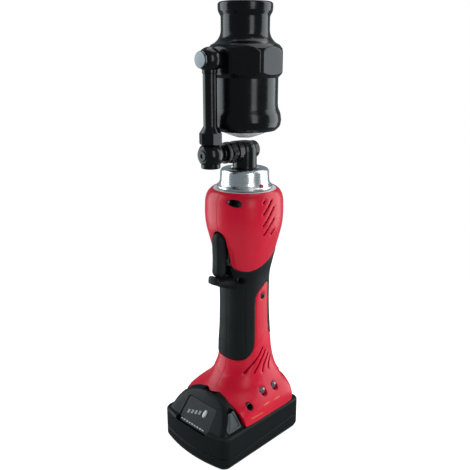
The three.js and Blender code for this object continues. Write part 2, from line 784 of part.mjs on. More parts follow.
const CAM_REACH = 7.5 + ECCENTRICITY;
add("release_valve", bar("x", -21, -CAM_REACH - 1.6, 2.6, [6, 180], SMALL), STEEL);

const board = cut(block(-12, 12, -14, 20, 56, 57.6), bar("z", 50, 60, 2, [0, 0], SMALL));
add("control_board", board, BOARD_GREEN);
const blades = [-15, -5, 5, 15].map((x) => block(x - 0.5, x + 0.5, 8, 22, 36.8, 42));
add("terminal_block", join(block(-19, 19, 6, 24, 40.6, 47), ...blades), CHARCOAL);

// ---------------------------------------------------------------- collar, elbow and arm

// A flat ring about the axis of the handle.
const washer = (low, high, outer, inner) =>
  cut(bar("z", low, high, outer, [0, 0], LARGE), bar("z", low - 1, high + 1, inner, [0, 0], LARGE));

add("collar_seal", washer(221.3, 224.2, MOUTH_RADIUS - 0.4, 17.5), PALE_RING);
const POCKET_RADIUS = 12.4;
const POCKET_FLOOR = 233;
add(
  "collar",
  turned(
    [
      [0, COLLAR_BOTTOM],
      [COLLAR_FLANGE_RADIUS, COLLAR_BOTTOM],
      [COLLAR_FLANGE_RADIUS, COLLAR_BOTTOM + 1.6],
      [COLLAR_FLANGE_RADIUS - 1.4, COLLAR_BOTTOM + 3.8],
      [COLLAR_RADIUS + 0.8, COLLAR_BOTTOM + 6.4],
      [COLLAR_RADIUS + 0.3, COLLAR_BOTTOM + 9],
      ...arc(COLLAR_RADIUS - 3.2, COLLAR_TOP - 3.2, 3.2, 0, 90, 2),
      [POCKET_RADIUS + 1, COLLAR_TOP],
      [POCKET_RADIUS, COLLAR_TOP - 1],
      [POCKET_RADIUS, POCKET_FLOOR],
      [0, POCKET_FLOOR],
    ],
    LARGE,
  ).subtract(bar("z", COLLAR_BOTTOM - 1, POCKET_FLOOR + 1, 7.4, [0, 0], ROUND)),
  POLISHED,
);
const markAngle = THREE.MathUtils.degToRad(-4);
const markOut = COLLAR_FLANGE_RADIUS - 0.4;
const markCentre = [markOut * Math.sin(markAngle), COLLAR_BOTTOM + 1.2];
add("index_mark", bar("x", markOut + 0.45, markOut + 0.9, 1.1, markCentre, SMALL), MARK_RED);

const ELBOW_TOP = 262;
const post = turned(
  [
    [0, 204],
    [7, 204],
    [7, POCKET_FLOOR + GAP],
    [ELBOW_RADIUS, POCKET_FLOOR + GAP],
    [ELBOW_RADIUS, ELBOW_Z],
    ...arc(0, ELBOW_Z, ELBOW_RADIUS, 14, 48, 2),
    [0, ELBOW_Z + ELBOW_RADIUS * Math.sin(THREE.MathUtils.degToRad(48))],
  ],
  ROUND,
);
const arm = turnedAlongY(
  [
    [0, 11.4],
    [6.6, 11.4],
    [7.2, 10.6],
    [7.2, -8],
    [8.6, -9],
    [8.6, -13.4],
    [6, -13.8],
    [6, -27.2],
    [4, -27.4],
    [4, -36],
    [0, -36],
  ].toReversed(),
  0,
  ELBOW_Z,
);
const plugSeat = bar("z", ELBOW_TOP - 3, ELBOW_TOP + 2, 5.8, [0, 0], ROUND);
const rearSeat = bar("y", 9.4, 14, 4.8, [0, ELBOW_Z], ROUND);
add("elbow", cut(join(post, arm), plugSeat, rearSeat), GLOSS_BLACK);
add("elbow_plug", bar("z", ELBOW_TOP - 2.7, ELBOW_TOP + 0.2, 5.5, [0, 0], ROUND), GLOSS_BLACK);
add("elbow_rear_plug", bar("y", 9.7, 12.6, 4.5, [0, ELBOW_Z], ROUND), GLOSS_BLACK);
const nutRing = (from, to, radius, sides) =>
  cut(
    bar("y", from, to, radius, [0, ELBOW_Z], sides),
    bar("y", from - 1, to + 1, 6.3, [0, ELBOW_Z], ROUND),
  );
add("arm_nut", nutRing(-20.4, -14.4, 9.2, 6), GLOSS_BLACK);
add("arm_ring", nutRing(-24.6, -21, 8.2, 24), GLOSS_BLACK);

// ---------------------------------------------------------------- link

const PIVOT_JOURNAL = 4;
// Half outline of a ball with a flat facet of one radius at each end.
const ballProfile = (radius, facet) => {
  const limit = THREE.MathUtils.radToDeg(Math.asin(facet / radius));
  const end = Math.sqrt(radius ** 2 - facet ** 2);
  return [[0, -end], ...arc(0, 0, radius, limit - 90, 90 - limit, 6), [0, end]];
};
const placedBall = (radius, facet, z) =>
  turnedAlongY(ballProfile(radius, facet).map(([r, y]) => [r, y + LINK_Y]), 0, z);

const lowerBall = cut(
  join(
    placedBall(LOWER_BALL_RADIUS, 5.6, LOWER_PIVOT_Z),
    turned([[0, 244.6], [6.9, 244.6], [7.5, 245.4], [7.5, 252], [0, 252]], ROUND, 0, LINK_Y),
  ),
  bar("y", -37, 0, PIVOT_JOURNAL + GAP, [0, LOWER_PIVOT_Z - 0.2], ROUND),
  bar("y", -60, LINK_Y - 7, 4.4, [0, LOWER_PIVOT_Z], ROUND),
  block(-FAR, FAR, -FAR, 0, 262.6, FAR + FAR),
);
add("link_lower_ball", lowerBall, GLOSS_BLACK);
const lowerPlug = bar("y", LINK_Y - 9.4, LINK_Y - 7.3, 4.1, [0, LOWER_PIVOT_Z], ROUND);
add("link_lower_plug", lowerPlug, GREY);

const ROD_LOW = 262.9;
const ROD_TOP = UPPER_PIVOT_Z - UPPER_BALL_RADIUS - 0.5;
const rod = join(
  bar("z", ROD_LOW, 272.5, 9.1, [0, LINK_Y], 6, Math.PI / 6),
  turned(
    [
      [0, 272],
      [8, 272],
      [ROD_RADIUS, 276.5],
      [ROD_RADIUS, ROD_TOP],
      [0, ROD_TOP],
    ],
    ROUND,
    0,
    LINK_Y,
  ),
);
add("link_rod", rod, GLOSS_BLACK);

const BOLT_RADIUS = 3.6;
const upperBall = cut(
  join(
    placedBall(UPPER_BALL_RADIUS, 5.2, UPPER_PIVOT_Z),
    bar("z", ROD_TOP + GAP, UPPER_PIVOT_Z - 4, ROD_RADIUS + 0.9, [0, LINK_Y], ROUND),
    bar("y", LINK_Y, -OCTAGON_HALF - GAP, 6.2, [0, UPPER_PIVOT_Z], ROUND),
  ),
  bar("y", -60, 0, BOLT_RADIUS + GAP, [0, UPPER_PIVOT_Z], ROUND),
  bar("y", -60, LINK_Y - 7.4, 6.6, [0, UPPER_PIVOT_Z], ROUND),
);
add("link_upper_ball", upperBall, GLOSS_BLACK);
add(
  "link_bolt",
  join(
    bar("y", LINK_Y - 9.9, LINK_Y - 7.7, 6.2, [0, UPPER_PIVOT_Z], ROUND),
    bar("y", LINK_Y - 8, -24, BOLT_RADIUS, [0, UPPER_PIVOT_Z], ROUND),
  ),
  GREY,
);

// ---------------------------------------------------------------- head

const FLAT_LOW = 316;
const FLAT_HIGH = 333;
const OCTAGON_CORNER = OCTAGON_HALF / Math.cos(Math.PI / 8);
const headRound = turned(
  [
    [0, HEAD_BOTTOM],
    [24.4, HEAD_BOTTOM],
    ...arc(BULGE_RADIUS - 8.2, HEAD_BOTTOM + 8.6, 8.2, -60, 30, 4),
    [26.6, 288.4],
    [BARREL_RADIUS, 291.5],
    [BARREL_RADIUS, 311.4],
    [OCTAGON_HALF, 314.4],
    [OCTAGON_CORNER, 317.4],
    [OCTAGON_CORNER, 330],
    [OCTAGON_HALF - 0.6, 333.6],
    [27.4, 335],
    ...arc(NECK_RADIUS + 10.6, 346.6, 10.6, 246, 180, 3),
    [NECK_RADIUS, 360],
    [LIP_RADIUS - 0.4, 361],
    [LIP_RADIUS, 362.2],
    ...arc(LIP_RADIUS - 5, HEAD_TOP - 4.2, 4.2, 20, 90, 3),
    [0, HEAD_TOP],
  ],
  LARGE,
);
const octagon = join(
  bar("z", 312, FLAT_HIGH + 6, OCTAGON_CORNER, [0, 0], 8, Math.PI / 8),
  bar("z", 260, 312.5, BULGE_RADIUS + 2, [0, 0], LARGE),
  bar("z", FLAT_HIGH + 1, HEAD_TOP + 2, BARREL_RADIUS + 1, [0, 0], LARGE),
);
const headCylinder = cut(
  headRound.intersect(octagon),
  bar("z", 260, CHAMBER_TOP, CHAMBER_RADIUS, [0, 0], LARGE),
  bar("z", 300, 400, RAM_RADIUS + GAP, [0, 0], LARGE),
  bar("y", -40, -23.4, BOLT_RADIUS + GAP, [0, UPPER_PIVOT_Z], ROUND),
);
add("head_cylinder", headCylinder, GLOSS_BLACK);

const capShell = turned(
  [
    [0, CAP_BOTTOM],
    [7, CAP_BOTTOM],
    [14, CAP_BOTTOM + 2.4],
    [19.4, HEAD_BOTTOM - 0.6],
    [20.2, HEAD_BOTTOM],
    [20.6, HEAD_BOTTOM + 0.6],
    [20.6, 275],
    [0, 275],
  ],
  LARGE,
);
add("end_cap", capShell, POLISHED);

const PISTON_LOW = 308;
const PISTON_HIGH = 322;
const ramTop = 361;
const pistonGroove = washer(312.4, 316, CHAMBER_RADIUS + 1, 18.6);
add(
  "piston",
  cut(
    join(
      bar("z", PISTON_LOW, PISTON_HIGH, CHAMBER_RADIUS - GAP, [0, 0], LARGE),
      bar("z", PISTON_HIGH - 1, ramTop, RAM_RADIUS, [0, 0], LARGE),
    ),
    pistonGroove,
    bar("z", 330, 370, STUD_RADIUS, [0, 0], LARGE),
  ),
  STEEL,
);
add("piston_seal", washer(312.7, 315.7, CHAMBER_RADIUS - GAP, 18.9), RUBBER);

class Helix extends THREE.Curve {
  constructor(radius, low, high, turns) {
    super();
    Object.assign(this, { radius, low, high, turns });
  }

  getPoint(t, target = new THREE.Vector3()) {
    const angle = 2 * Math.PI * this.turns * t;
    const z = THREE.MathUtils.lerp(this.low, this.high, t);
    return target.set(this.radius * Math.cos(angle), this.radius * Math.sin(angle), z);
  }
}

function coil(radius, low, high, turns, wire) {
  const hexagon = arc(0, 0, wire, 0, 300, 5);
  const section = new THREE.Shape(hexagon.map(([x, y]) => new THREE.Vector2(x, y)));
  const path = new Helix(radius, low + wire, high - wire, turns);
  const geometry = new THREE.ExtrudeGeometry(section, { steps: turns * 10, extrudePath: path });
  return solid(geometry);
}
const SPRING_LOW = 275.6;
const SPRING_HIGH = PISTON_LOW - 0.6;
add("return_spring", coil(16, SPRING_LOW, SPRING_HIGH, 5, 1.5), STEEL);

export default tool;
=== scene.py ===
"""Looks of a cordless hydraulic punch driver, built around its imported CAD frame.

Shapes are worked out in millimetres and scaled to metres when a piece is made.
"""

from math import acos, asin, atan2, ceil, copysign, cos, exp, hypot, pi, radians, sin, sqrt, tan

import bmesh
import bpy
import numpy as np
from mathutils import Matrix, Vector


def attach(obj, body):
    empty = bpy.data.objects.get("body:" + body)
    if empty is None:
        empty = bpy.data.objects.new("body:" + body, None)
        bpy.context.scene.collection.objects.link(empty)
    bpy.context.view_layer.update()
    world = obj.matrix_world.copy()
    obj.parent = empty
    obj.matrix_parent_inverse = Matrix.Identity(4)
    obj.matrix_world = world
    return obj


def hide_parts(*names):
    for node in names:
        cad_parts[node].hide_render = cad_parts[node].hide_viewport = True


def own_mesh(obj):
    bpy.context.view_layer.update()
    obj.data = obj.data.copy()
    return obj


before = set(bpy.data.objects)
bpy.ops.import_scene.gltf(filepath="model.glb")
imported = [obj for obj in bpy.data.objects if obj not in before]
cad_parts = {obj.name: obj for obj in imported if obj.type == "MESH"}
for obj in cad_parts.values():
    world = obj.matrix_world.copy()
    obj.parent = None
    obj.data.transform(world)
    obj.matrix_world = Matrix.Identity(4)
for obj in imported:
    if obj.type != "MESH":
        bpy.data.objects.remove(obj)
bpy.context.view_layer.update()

MM = 0.001
FAR = 120.0
GAP = 0.3
FLOOR_RADIUS = 500.0

# ---- measures shared with the frame

ELBOW_Z = 254.7
LINK_Y = -37.8
LOWER_PIVOT_Z = 254.9
UPPER_PIVOT_Z = 325.0
HEAD_BOTTOM = 271.0
HEAD_TOP = 367.0
COLLAR_BOTTOM = 224.9
COLLAR_TOP = 240.6
SKID_TOP = 11.0
RAIL_TOP = 29.5
DECK_TOP = 31.5
DOME_TOP = 52.0
OVERMOULD = 1.7
WALL = 3.2

# ---- plain maths


def smooth(t):
    """0 below 0, 1 above 1 and a soft S between."""
    t = np.clip(t, 0.0, 1.0)
    return t * t * (3 - 2 * t)


def table_at(table, at):
    """Rows of a table, read between its lines along a smooth curve through them."""
    rows = np.array(table, float)
    knots = rows[:, 0]
    slopes = np.gradient(rows, knots, axis=0)
    at = np.clip(np.atleast_1d(np.array(at, float)), knots[0], knots[-1])
    low = np.clip(np.searchsorted(knots, at) - 1, 0, len(knots) - 2)
    step = (knots[low + 1] - knots[low])[:, None]
    s = (at - knots[low])[:, None] / step
    a = (2 * s**3 - 3 * s**2 + 1) * rows[low]
    b = (s**3 - 2 * s**2 + s) * step * slopes[low]
    c = (3 * s**2 - 2 * s**3) * rows[low + 1]
    d = (s**3 - s**2) * step * slopes[low + 1]
    return a + b + c + d


def round_turns(count):
    """Evenly spaced angles of one full turn."""
    return np.linspace(0, 2 * pi, count, endpoint=False)


def spline(points, per):
    """A smooth open line through the points."""
    points = np.array(points, float)
    before = 2 * points[0] - points[1]
    after = 2 * points[-1] - points[-2]
    full = np.vstack([before, points, after])
    out = []
    for i in range(1, len(full) - 2):
        p0, p1, p2, p3 = full[i - 1 : i + 3]
        for k in range(per):
            t = k / per
            out.append(
                0.5 * (
                    2 * p1 + (p2 - p0) * t + (
                        2 * p0 - 5 * p1 + 4 * p2 - p3
                    ) * t * t + (3 * p1 - p0 - 3 * p2 + p3) * t**3
                )
            )
    out.append(points[-1])
    return [tuple(p) for p in out]


def soften(points, radius, closed=False, steps=5):
    """Rounds each corner of a line of (a, b) pairs. A third number gives a corner its own radius."""
    count = len(points)
    out = []
    for i, point in enumerate(points):
        here = np.array(point[:2], float)
        own = point[2] if len(point) > 2 else radius
        if own <= 0 or (not closed and i in (0, count - 1)):
            out.append(tuple(here))
            continue
        before = np.array(points[i - 1][:2], float) - here
        after = np.array(points[(i + 1) % count][:2], float) - here
        la, lb = np.linalg.norm(before), np.linalg.norm(after)
        if la < 1e-9 or lb < 1e-9:
            out.append(tuple(here))
            continue
        ua, ub = before / la, after / lb
        half = acos(float(np.clip(ua @ ub, -1, 1))) / 2
        if half > pi / 2 - 0.02 or half < 0.02:
            out.append(tuple(here))
            continue
        reach = min(own / tan(half), 0.46 * la, 0.46 * lb)
        r = reach * tan(half)
        middle = (ua + ub) / np.linalg.norm(ua + ub)
        centre = here + middle * (r / sin(half))
        start, end = here + ua * reach - centre, here + ub * reach - centre
        turn = atan2(start[0] * end[1] - start[1] * end[0], start @ end)
        for k in range(steps + 1):
            c, s = cos(turn * k / steps), sin(turn * k / steps)
            out.append(
                (centre[0] + start[0] * c - start[1] * s, centre[1] + start[0] * s + start[1] * c)
            )
    return out


def squared(value, power):
    """A sine or cosine raised to a power with its sign kept, which squares a round section."""
    return copysign(abs(value) ** power, value)


def distance_to(route, a, b, closed=False):
    """Distance of the points (a, b) from a line of points."""
    ends = list(route) + ([route[0]] if closed else [])
    near = np.full(a.shape, 1e9)
    for (a0, b0), (a1, b1) in zip(ends[:-1], ends[1:]):
        da, db = a1 - a0, b1 - b0
        length = max(da * da + db * db, 1e-12)
        t = np.clip(((a - a0) * da + (b - b0) * db) / length, 0, 1)
        near = np.minimum(near, np.hypot(a - a0 - t * da, b - b0 - t * db))
    return near


def inside(outline, a, b):
    """True for the points (a, b) inside a closed outline."""
    within = np.zeros(a.shape, bool)
    for (a0, b0), (a1, b1) in zip(outline, outline[1:] + outline[:1]):
        if b0 == b1:
            continue
        crosses = (b0 > b) != (b1 > b)
        within ^= crosses & (a < (a1 - a0) * (b - b0) / (b1 - b0) + a0)
    return within


# ---- meshes in millimetres


def link(thing):
    bpy.context.scene.collection.objects.link(thing)


def mesh_of(verts, faces):
    """A mesh from points and faces."""
    mesh = bpy.data.meshes.new("work")
    mesh.from_pydata([tuple(v) for v in np.asarray(verts, float)], [], faces)
    mesh.update()
    return mesh


def outward(mesh):
    """Turns the faces to point out, if they point in."""
    verts = np.empty(len(mesh.vertices) * 3)
    mesh.vertices.foreach_get("co", verts)
    verts = verts.reshape(-1, 3)
    mesh.calc_loop_triangles()
    tris = np.empty(len(mesh.loop_triangles) * 3, np.int32)
    mesh.loop_triangles.foreach_get("vertices", tris)
    a, b, c = verts[tris.reshape(-1, 3)].transpose(1, 0, 2)
    if np.einsum("ij,ij->i", a, np.cross(b, c)).sum() < 0:
        mesh.flip_normals()
    return mesh


def skin(rings, closed_end=True):
    """A closed skin over rings of equal point counts. Without closed_end the rings make a torus."""
    rings = np.asarray(rings, float)
    levels, count = rings.shape[:2]
    verts = rings.reshape(-1, 3)
    r = np.arange(levels - 1 if closed_end else levels)[:, None] * count
    i = np.arange(count)[None, :]
    j = (i + 1) % count
    up = (r + count) % (levels * count)
    quads = np.stack([r + i, r + j, up + j, up + i], axis=-1).reshape(-1, 4)
    faces = quads.tolist()
    if closed_end:
        base = len(verts)
        verts = np.vstack([verts, rings[0].mean(axis=0), rings[-1].mean(axis=0)])
        last = (levels - 1) * count
        for k in range(count):
            n = (k + 1) % count
            faces.append([base, n, k])
            faces.append([base + 1, last + k, last + n])
    return outward(mesh_of(verts, faces))


AXES = {
    "z": lambda r, h, c, s: (r * c, r * s, h), "y": lambda r, h, c, s: (r * c, h, r * s), "x": lambda r,
    h, c, s: (h, r * c, r * s)
}


def lathe(profile, sides=96, axis="z", centre=(0.0, 0.0, 0.0), ripple=None):
    """Turns (radius, height) pairs about an axis. Pairs that start and end at radius 0 close
    there; any other line is a closed ring. ripple(angle) scales the radius of a ribbed piece."""
    angle = np.arange(sides) * 2 * np.pi / sides
    c, s = np.cos(angle), np.sin(angle)
    grow = np.ones(sides) if ripple is None else ripple(angle)
    poles = profile[0][0] < 1e-6 and profile[-1][0] < 1e-6
    rings = []
    for radius, height in profile[1:-1] if poles else profile:
        x, y, z = AXES[axis](radius * grow, np.full(sides, float(height)), c, s)
        rings.append(np.stack([x, y, z], axis=-1) + np.array(centre))
    mesh = skin(rings, closed_end=poles)
    if poles:
        for k, (_, height) in enumerate((profile[0], profile[-1])):
            tip = AXES[axis](0.0, float(height), 1.0, 0.0)
            place = len(mesh.vertices) - 2 + k
            mesh.vertices[place].co = Vector(tip) + Vector(centre)
    return outward(mesh)


def cylinder(low, high, radius, sides=64, axis="z", centre=(0.0, 0.0, 0.0)):
    return lathe([(0, low), (radius, low), (radius, high), (0, high)], sides, axis, centre)


def prism(outline, low, high, axis="x", bevel=0.0):
    """An outline pushed along an axis. The outline is (y, z) along x, (x, z) along y, (x, y) along z."""
    place = {
        "x": lambda a, b, h: (h, a, b), "y": lambda a, b, h: (a, h, b), "z": lambda a, b, h: (a, b, h)
    }[axis]
    count = len(outline)
    verts = [place(a, b, low) for a, b in outline] + [place(a, b, high) for a, b in outline]
    faces = [list(range(count)), list(range(count, 2 * count))[::-1]]
    faces += [[i, (i + 1) % count, (i + 1) % count + count, i + count] for i in range(count)]
    mesh = consistent(mesh_of(verts, faces))
    return bevelled(mesh, bevel) if bevel else mesh


def consistent(mesh):
    """Makes all faces of a mesh point out."""
    work = bmesh.new()
    work.from_mesh(mesh)
    bmesh.ops.recalc_face_normals(work, faces=work.faces)
    work.to_mesh(mesh)
    work.free()
    return outward(mesh)


def box(x0, x1, y0, y1, z0, z1, bevel=0.0):
    return prism([(x0, y0), (x1, y0), (x1, y1), (x0, y1)], z0, z1, "z", bevel)


def hexagon(radius, turn=0.0):
    angles = [pi / 3 * k + turn for k in range(6)]
    return [(radius * cos(a), radius * sin(a)) for a in angles]


def key_hole(radius, low, high, axis, place):
    """A hexagon socket, to cut with."""
    return moved(prism(hexagon(radius), low, high, axis), Matrix.Translation(place))


def evaluated(mesh, *settings):
    """The mesh after one modifier for each (type, {property: value}) pair."""
    holder = bpy.data.objects.new("work", mesh)
    link(holder)
    for kind, values in settings:
        modifier = holder.modifiers.new(kind, kind)
        for key, value in values.items():
            setattr(modifier, key, value)
    graph = bpy.context.evaluated_depsgraph_get()
    graph.update()
    made = bpy.data.meshes.new_from_object(holder.evaluated_get(graph))
    bpy.data.objects.remove(holder)
    return made


def bevelled(mesh, width):
    edges = {"limit_method": "ANGLE", "angle_limit": radians(30), "use_clamp_overlap": True}
    return evaluated(mesh, ("BEVEL", {"width": width, "segments": 3, **edges}))


def combine(how, mesh, others):
    """The mesh after one boolean with each of the others."""
    for other in others:
        tool = bpy.data.objects.new("tool", other)
        link(tool)
        mesh = evaluated(mesh, ("BOOLEAN", {"operation": how, "object": tool, "solver": "MANIFOLD"}))
        bpy.data.objects.remove(tool)
        if not len(mesh.vertices):
            raise RuntimeError("a boolean left nothing")
    return mesh


def cut(mesh, *others):
    return combine("DIFFERENCE", mesh, others)


def join(mesh, *others):
    return combine("UNION", mesh, others)


def common(mesh, *others):
    return combine("INTERSECT", mesh, others)


def moved(mesh, matrix):
    mesh = mesh.copy()
    mesh.transform(matrix)
    return outward(mesh)


def piece(name, mesh, body, material, nodes=(), angle=34):
    """Makes a millimetre mesh into a shown piece that rides on a body and stands for CAD nodes."""
    mesh = mesh.copy()
    mesh.transform(Matrix.Scale(MM, 4))
    mesh.materials.clear()
    mesh.materials.append(material)
    mesh.polygons.foreach_set("material_index", [0] * len(mesh.polygons))
    mesh.shade_smooth()
    mesh.set_sharp_from_angle(angle=radians(angle))
    mesh.name = name
    weighted = evaluated(mesh, ("WEIGHTED_NORMAL", {"keep_sharp": True, "weight": 60, "thresh": 0.01}))
    weighted.name = name
    made = bpy.data.objects.new(name, weighted)
    link(made)
    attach(made, body)
    if nodes:
        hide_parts(*nodes)
    return made


# ---- materials


def set_inputs(node, **values):
    """Sets inputs of a shader node by name, with _ for each space."""
    for key, value in values.items():
        node.inputs[key.replace("_", " ")].default_value = value
    return node


class Surface:
    """A Principled material. Its colour, roughness and grain come from noise in the piece's own space."""

    def __init__(self, name, **settings):
        self.material = bpy.data.materials.new(name)
        self.material.use_nodes = True
        self.tree = self.material.node_tree
        self.shader = self.tree.nodes["Principled BSDF"]
        self.place = self.tree.nodes.new("ShaderNodeTexCoord").outputs["Object"]
        set_inputs(self.shader, **settings)

    def add(self, kind, **values):
        return set_inputs(self.tree.nodes.new(kind), **values)

    def noise(self, scale, detail=3.0, stretch=(1.0, 1.0, 1.0)):
        mapping = self.add("ShaderNodeMapping", Scale=stretch)
        self.tree.links.new(self.place, mapping.inputs["Vector"])
        node = self.add("ShaderNodeTexNoise", Scale=scale, Detail=detail)
        self.tree.links.new(mapping.outputs["Vector"], node.inputs["Vector"])
        return node.outputs["Fac"]

    def colour(self, source, one, two):
        ramp = self.tree.nodes.new("ShaderNodeValToRGB")
        ramp.color_ramp.elements[0].color = (*one, 1)
        ramp.color_ramp.elements[1].color = (*two, 1)
        ramp.color_ramp.elements[0].position = 0.35
        ramp.color_ramp.elements[1].position = 0.65
        self.tree.links.new(source, ramp.inputs["Fac"])
        self.tree.links.new(ramp.outputs["Color"], self.shader.inputs["Base Color"])
        return self

    def rough(self, source, low, high):
        node = self.add("ShaderNodeMapRange", From_Min=0.3, From_Max=0.7, To_Min=low, To_Max=high)
        self.tree.links.new(source, node.inputs["Value"])
        self.tree.links.new(node.outputs["Result"], self.shader.inputs["Roughness"])
        return self

    def grain(self, source, strength, depth):
        node = self.add("ShaderNodeBump", Strength=strength, Distance=depth)
        self.tree.links.new(source, node.inputs["Height"])
        self.tree.links.new(node.outputs["Normal"], self.shader.inputs["Normal"])
        return self


def moulded(name, one, two, low, high, grain=2600.0, strength=0.25, depth=0.00006, **settings):
    """Moulded plastic: faint cloudy colour, fine spark-eroded grain and slightly worn gloss."""
    surface = Surface(name, **settings)
    surface.colour(surface.noise(28.0, 4.0), one, two)
    surface.rough(surface.noise(160.0, 5.0), low, high)
    surface.grain(surface.noise(grain, 2.0), strength, depth)
    return surface.material


def machined(name, one, two, low, high, stretch, strength=0.08, **settings):
    """Metal with fine tool marks. stretch packs the noise across the direction of the marks."""
    surface = Surface(name, Metallic=1.0, **settings)
    marks = surface.noise(40.0, 5.0, stretch)
    surface.colour(surface.noise(60.0, 3.0), one, two)
    surface.rough(marks, low, high)
    surface.grain(marks, strength, 0.00002)
    return surface.material


RED = moulded(
    "red_moulded_shell", (0.52, 0.0028, 0.022), (0.58, 0.004, 0.026), 0.28, 0.37, strength=0.12,
    Specular_IOR_Level=0.26
)
GRIP = moulded(
    "soft_grip_rubber", (0.0052, 0.0078, 0.0084), (0.008, 0.0112, 0.012), 0.46, 0.6, grain=3400.0,
    strength=0.5, depth=0.00009, Specular_IOR_Level=0.18
)
CHARCOAL = moulded(
    "charcoal_battery_plastic", (0.005, 0.0066, 0.0072), (0.0072, 0.009, 0.0096), 0.36, 0.48,
    strength=0.4, Specular_IOR_Level=0.13
)
PANEL = moulded(
    "gauge_panel", (0.0042, 0.0052, 0.0062), (0.006, 0.0072, 0.0084), 0.3, 0.4, grain=1500.0,
    strength=0.2, Specular_IOR_Level=0.2
)
LATCH_GREY = moulded(
    "latch_grey_plastic", (0.03, 0.037, 0.039), (0.038, 0.046, 0.048), 0.4, 0.5, strength=0.4
)
BAR_GREY = moulded("gauge_bar", (0.15, 0.18, 0.19), (0.19, 0.22, 0.23), 0.3, 0.4)
PALE_PRINT = moulded("pale_print", (0.42, 0.46, 0.48), (0.5, 0.54, 0.56), 0.4, 0.5)
YELLOW_PRINT = moulded("ochre_print", (0.6, 0.16, 0.02), (0.66, 0.2, 0.03), 0.4, 0.5)
BUTTON_GREY = moulded("gauge_button_satin", (0.34, 0.38, 0.39), (0.42, 0.46, 0.47), 0.22, 0.3)
BLACK = moulded(
    "black_lacquered_steel", (0.0022, 0.0027, 0.003), (0.0036, 0.0043, 0.0047), 0.15, 0.23,
    grain=900.0, strength=0.05, depth=0.00004, Specular_IOR_Level=0.3
)
PLUG_GREY = machined(
    "dark_plug_steel", (0.09, 0.1, 0.108), (0.13, 0.142, 0.15), 0.24, 0.34, (1, 1, 1)
)
POLISHED = machined(
    "polished_collar_steel", (0.74, 0.76, 0.77), (0.82, 0.84, 0.85), 0.2, 0.29, (1.0, 1.0, 60.0),
    strength=0.15
)
ZINC = moulded(
    "bright_zinc_cap", (0.66, 0.69, 0.7), (0.78, 0.8, 0.81), 0.22, 0.34, strength=0.1, Metallic=0.35
)
STEEL = machined("ground_steel", (0.4, 0.42, 0.43), (0.5, 0.52, 0.53), 0.24, 0.38, (1.0, 1.0, 30.0))
SCREW_STEEL = machined(
    "blackened_screw", (0.05, 0.052, 0.056), (0.08, 0.083, 0.087), 0.3, 0.45, (1, 1, 1)
)
PALE_RING = moulded("pale_seal", (0.62, 0.65, 0.67), (0.7, 0.73, 0.75), 0.3, 0.42)
RUBBER = moulded("seal_rubber", (0.01, 0.01, 0.011), (0.016, 0.016, 0.017), 0.6, 0.75)
MARK = moulded("index_red", (0.42, 0.004, 0.01), (0.5, 0.006, 0.014), 0.3, 0.4)
LENS = moulded(
    "status_lens", (0.06, 0.048, 0.068), (0.12, 0.105, 0.135), 0.07, 0.13, grain=700.0, strength=0.1,
    Coat_Weight=1.0, Coat_Roughness=0.03
)
CELL = moulded("cell_wrap", (0.02, 0.13, 0.22), (0.028, 0.16, 0.26), 0.3, 0.4)
COPPER = machined("copper_windings", (0.72, 0.32, 0.16), (0.8, 0.38, 0.2), 0.3, 0.45, (1, 1, 40))
BOARD = moulded("circuit_board", (0.01, 0.09, 0.04), (0.014, 0.12, 0.052), 0.4, 0.55)


def black(name, mesh, body, node, angle=34):
    """A piece of black lacquered steel that stands for one node."""
    return piece(name, mesh, body, BLACK, [node], angle)


# ---- camera, light and floor

HEADING = radians(44.45)
AIM = Vector((0.0, 0.0, 0.2))
camera_data = bpy.data.cameras.new("camera")
camera_data.lens = 45.04
camera_data.sensor_width = 36.0
camera = bpy.data.objects.new("camera", camera_data)
camera.location = (0.3284, -0.346, 0.325)
camera.rotation_euler = (radians(73.4), 0.0, HEADING)
link(camera)
bpy.context.scene.camera = camera
bpy.context.scene.view_settings.view_transform = "Standard"


def softbox(name, around, distance, height, wide, tall, power, tint=(1.0, 1.0, 1.0)):
    """A large area light round the object. around is degrees to the right of the camera."""
    turn = HEADING + radians(around)
    data = bpy.data.lights.new(name, "AREA")
    data.shape = "RECTANGLE"
    data.size = wide
    data.size_y = tall
    data.energy = power
    data.color = tint
    light = bpy.data.objects.new(name, data)
    light.location = (distance * sin(turn), -distance * cos(turn), height)
    light.rotation_euler = (AIM - light.location).to_track_quat("-Z", "Y").to_euler()
    link(light)


softbox("left_box", -104, 0.95, 0.34, 0.75, 1.3, 11.0, (0.9, 0.97, 1.0))
softbox("right_box", 104, 0.95, 0.34, 0.75, 1.3, 11.0, (0.92, 0.97, 1.0))
softbox("key_box", 30, 1.1, 0.55, 0.34, 1.0, 4.2)
softbox("top_box", 150, 0.45, 1.35, 1.1, 1.1, 9.0)

world = bpy.data.worlds.new("studio")
world.use_nodes = True
bpy.context.scene.world = world
nodes = world.node_tree.nodes
sky = set_inputs(nodes["Background"], Color=(0.78, 0.92, 1.0, 1), Strength=0.22)
seen = set_inputs(nodes.new("ShaderNodeBackground"), Color=(1, 1, 1, 1), Strength=1.0)
path = nodes.new("ShaderNodeLightPath")
blend = nodes.new("ShaderNodeMixShader")
sources = (path.outputs["Is Camera Ray"], sky.outputs[0], seen.outputs[0])
for source, target in zip(sources, blend.inputs):
    world.node_tree.links.new(source, target)
world.node_tree.links.new(blend.outputs[0], nodes["World Output"].inputs["Surface"])

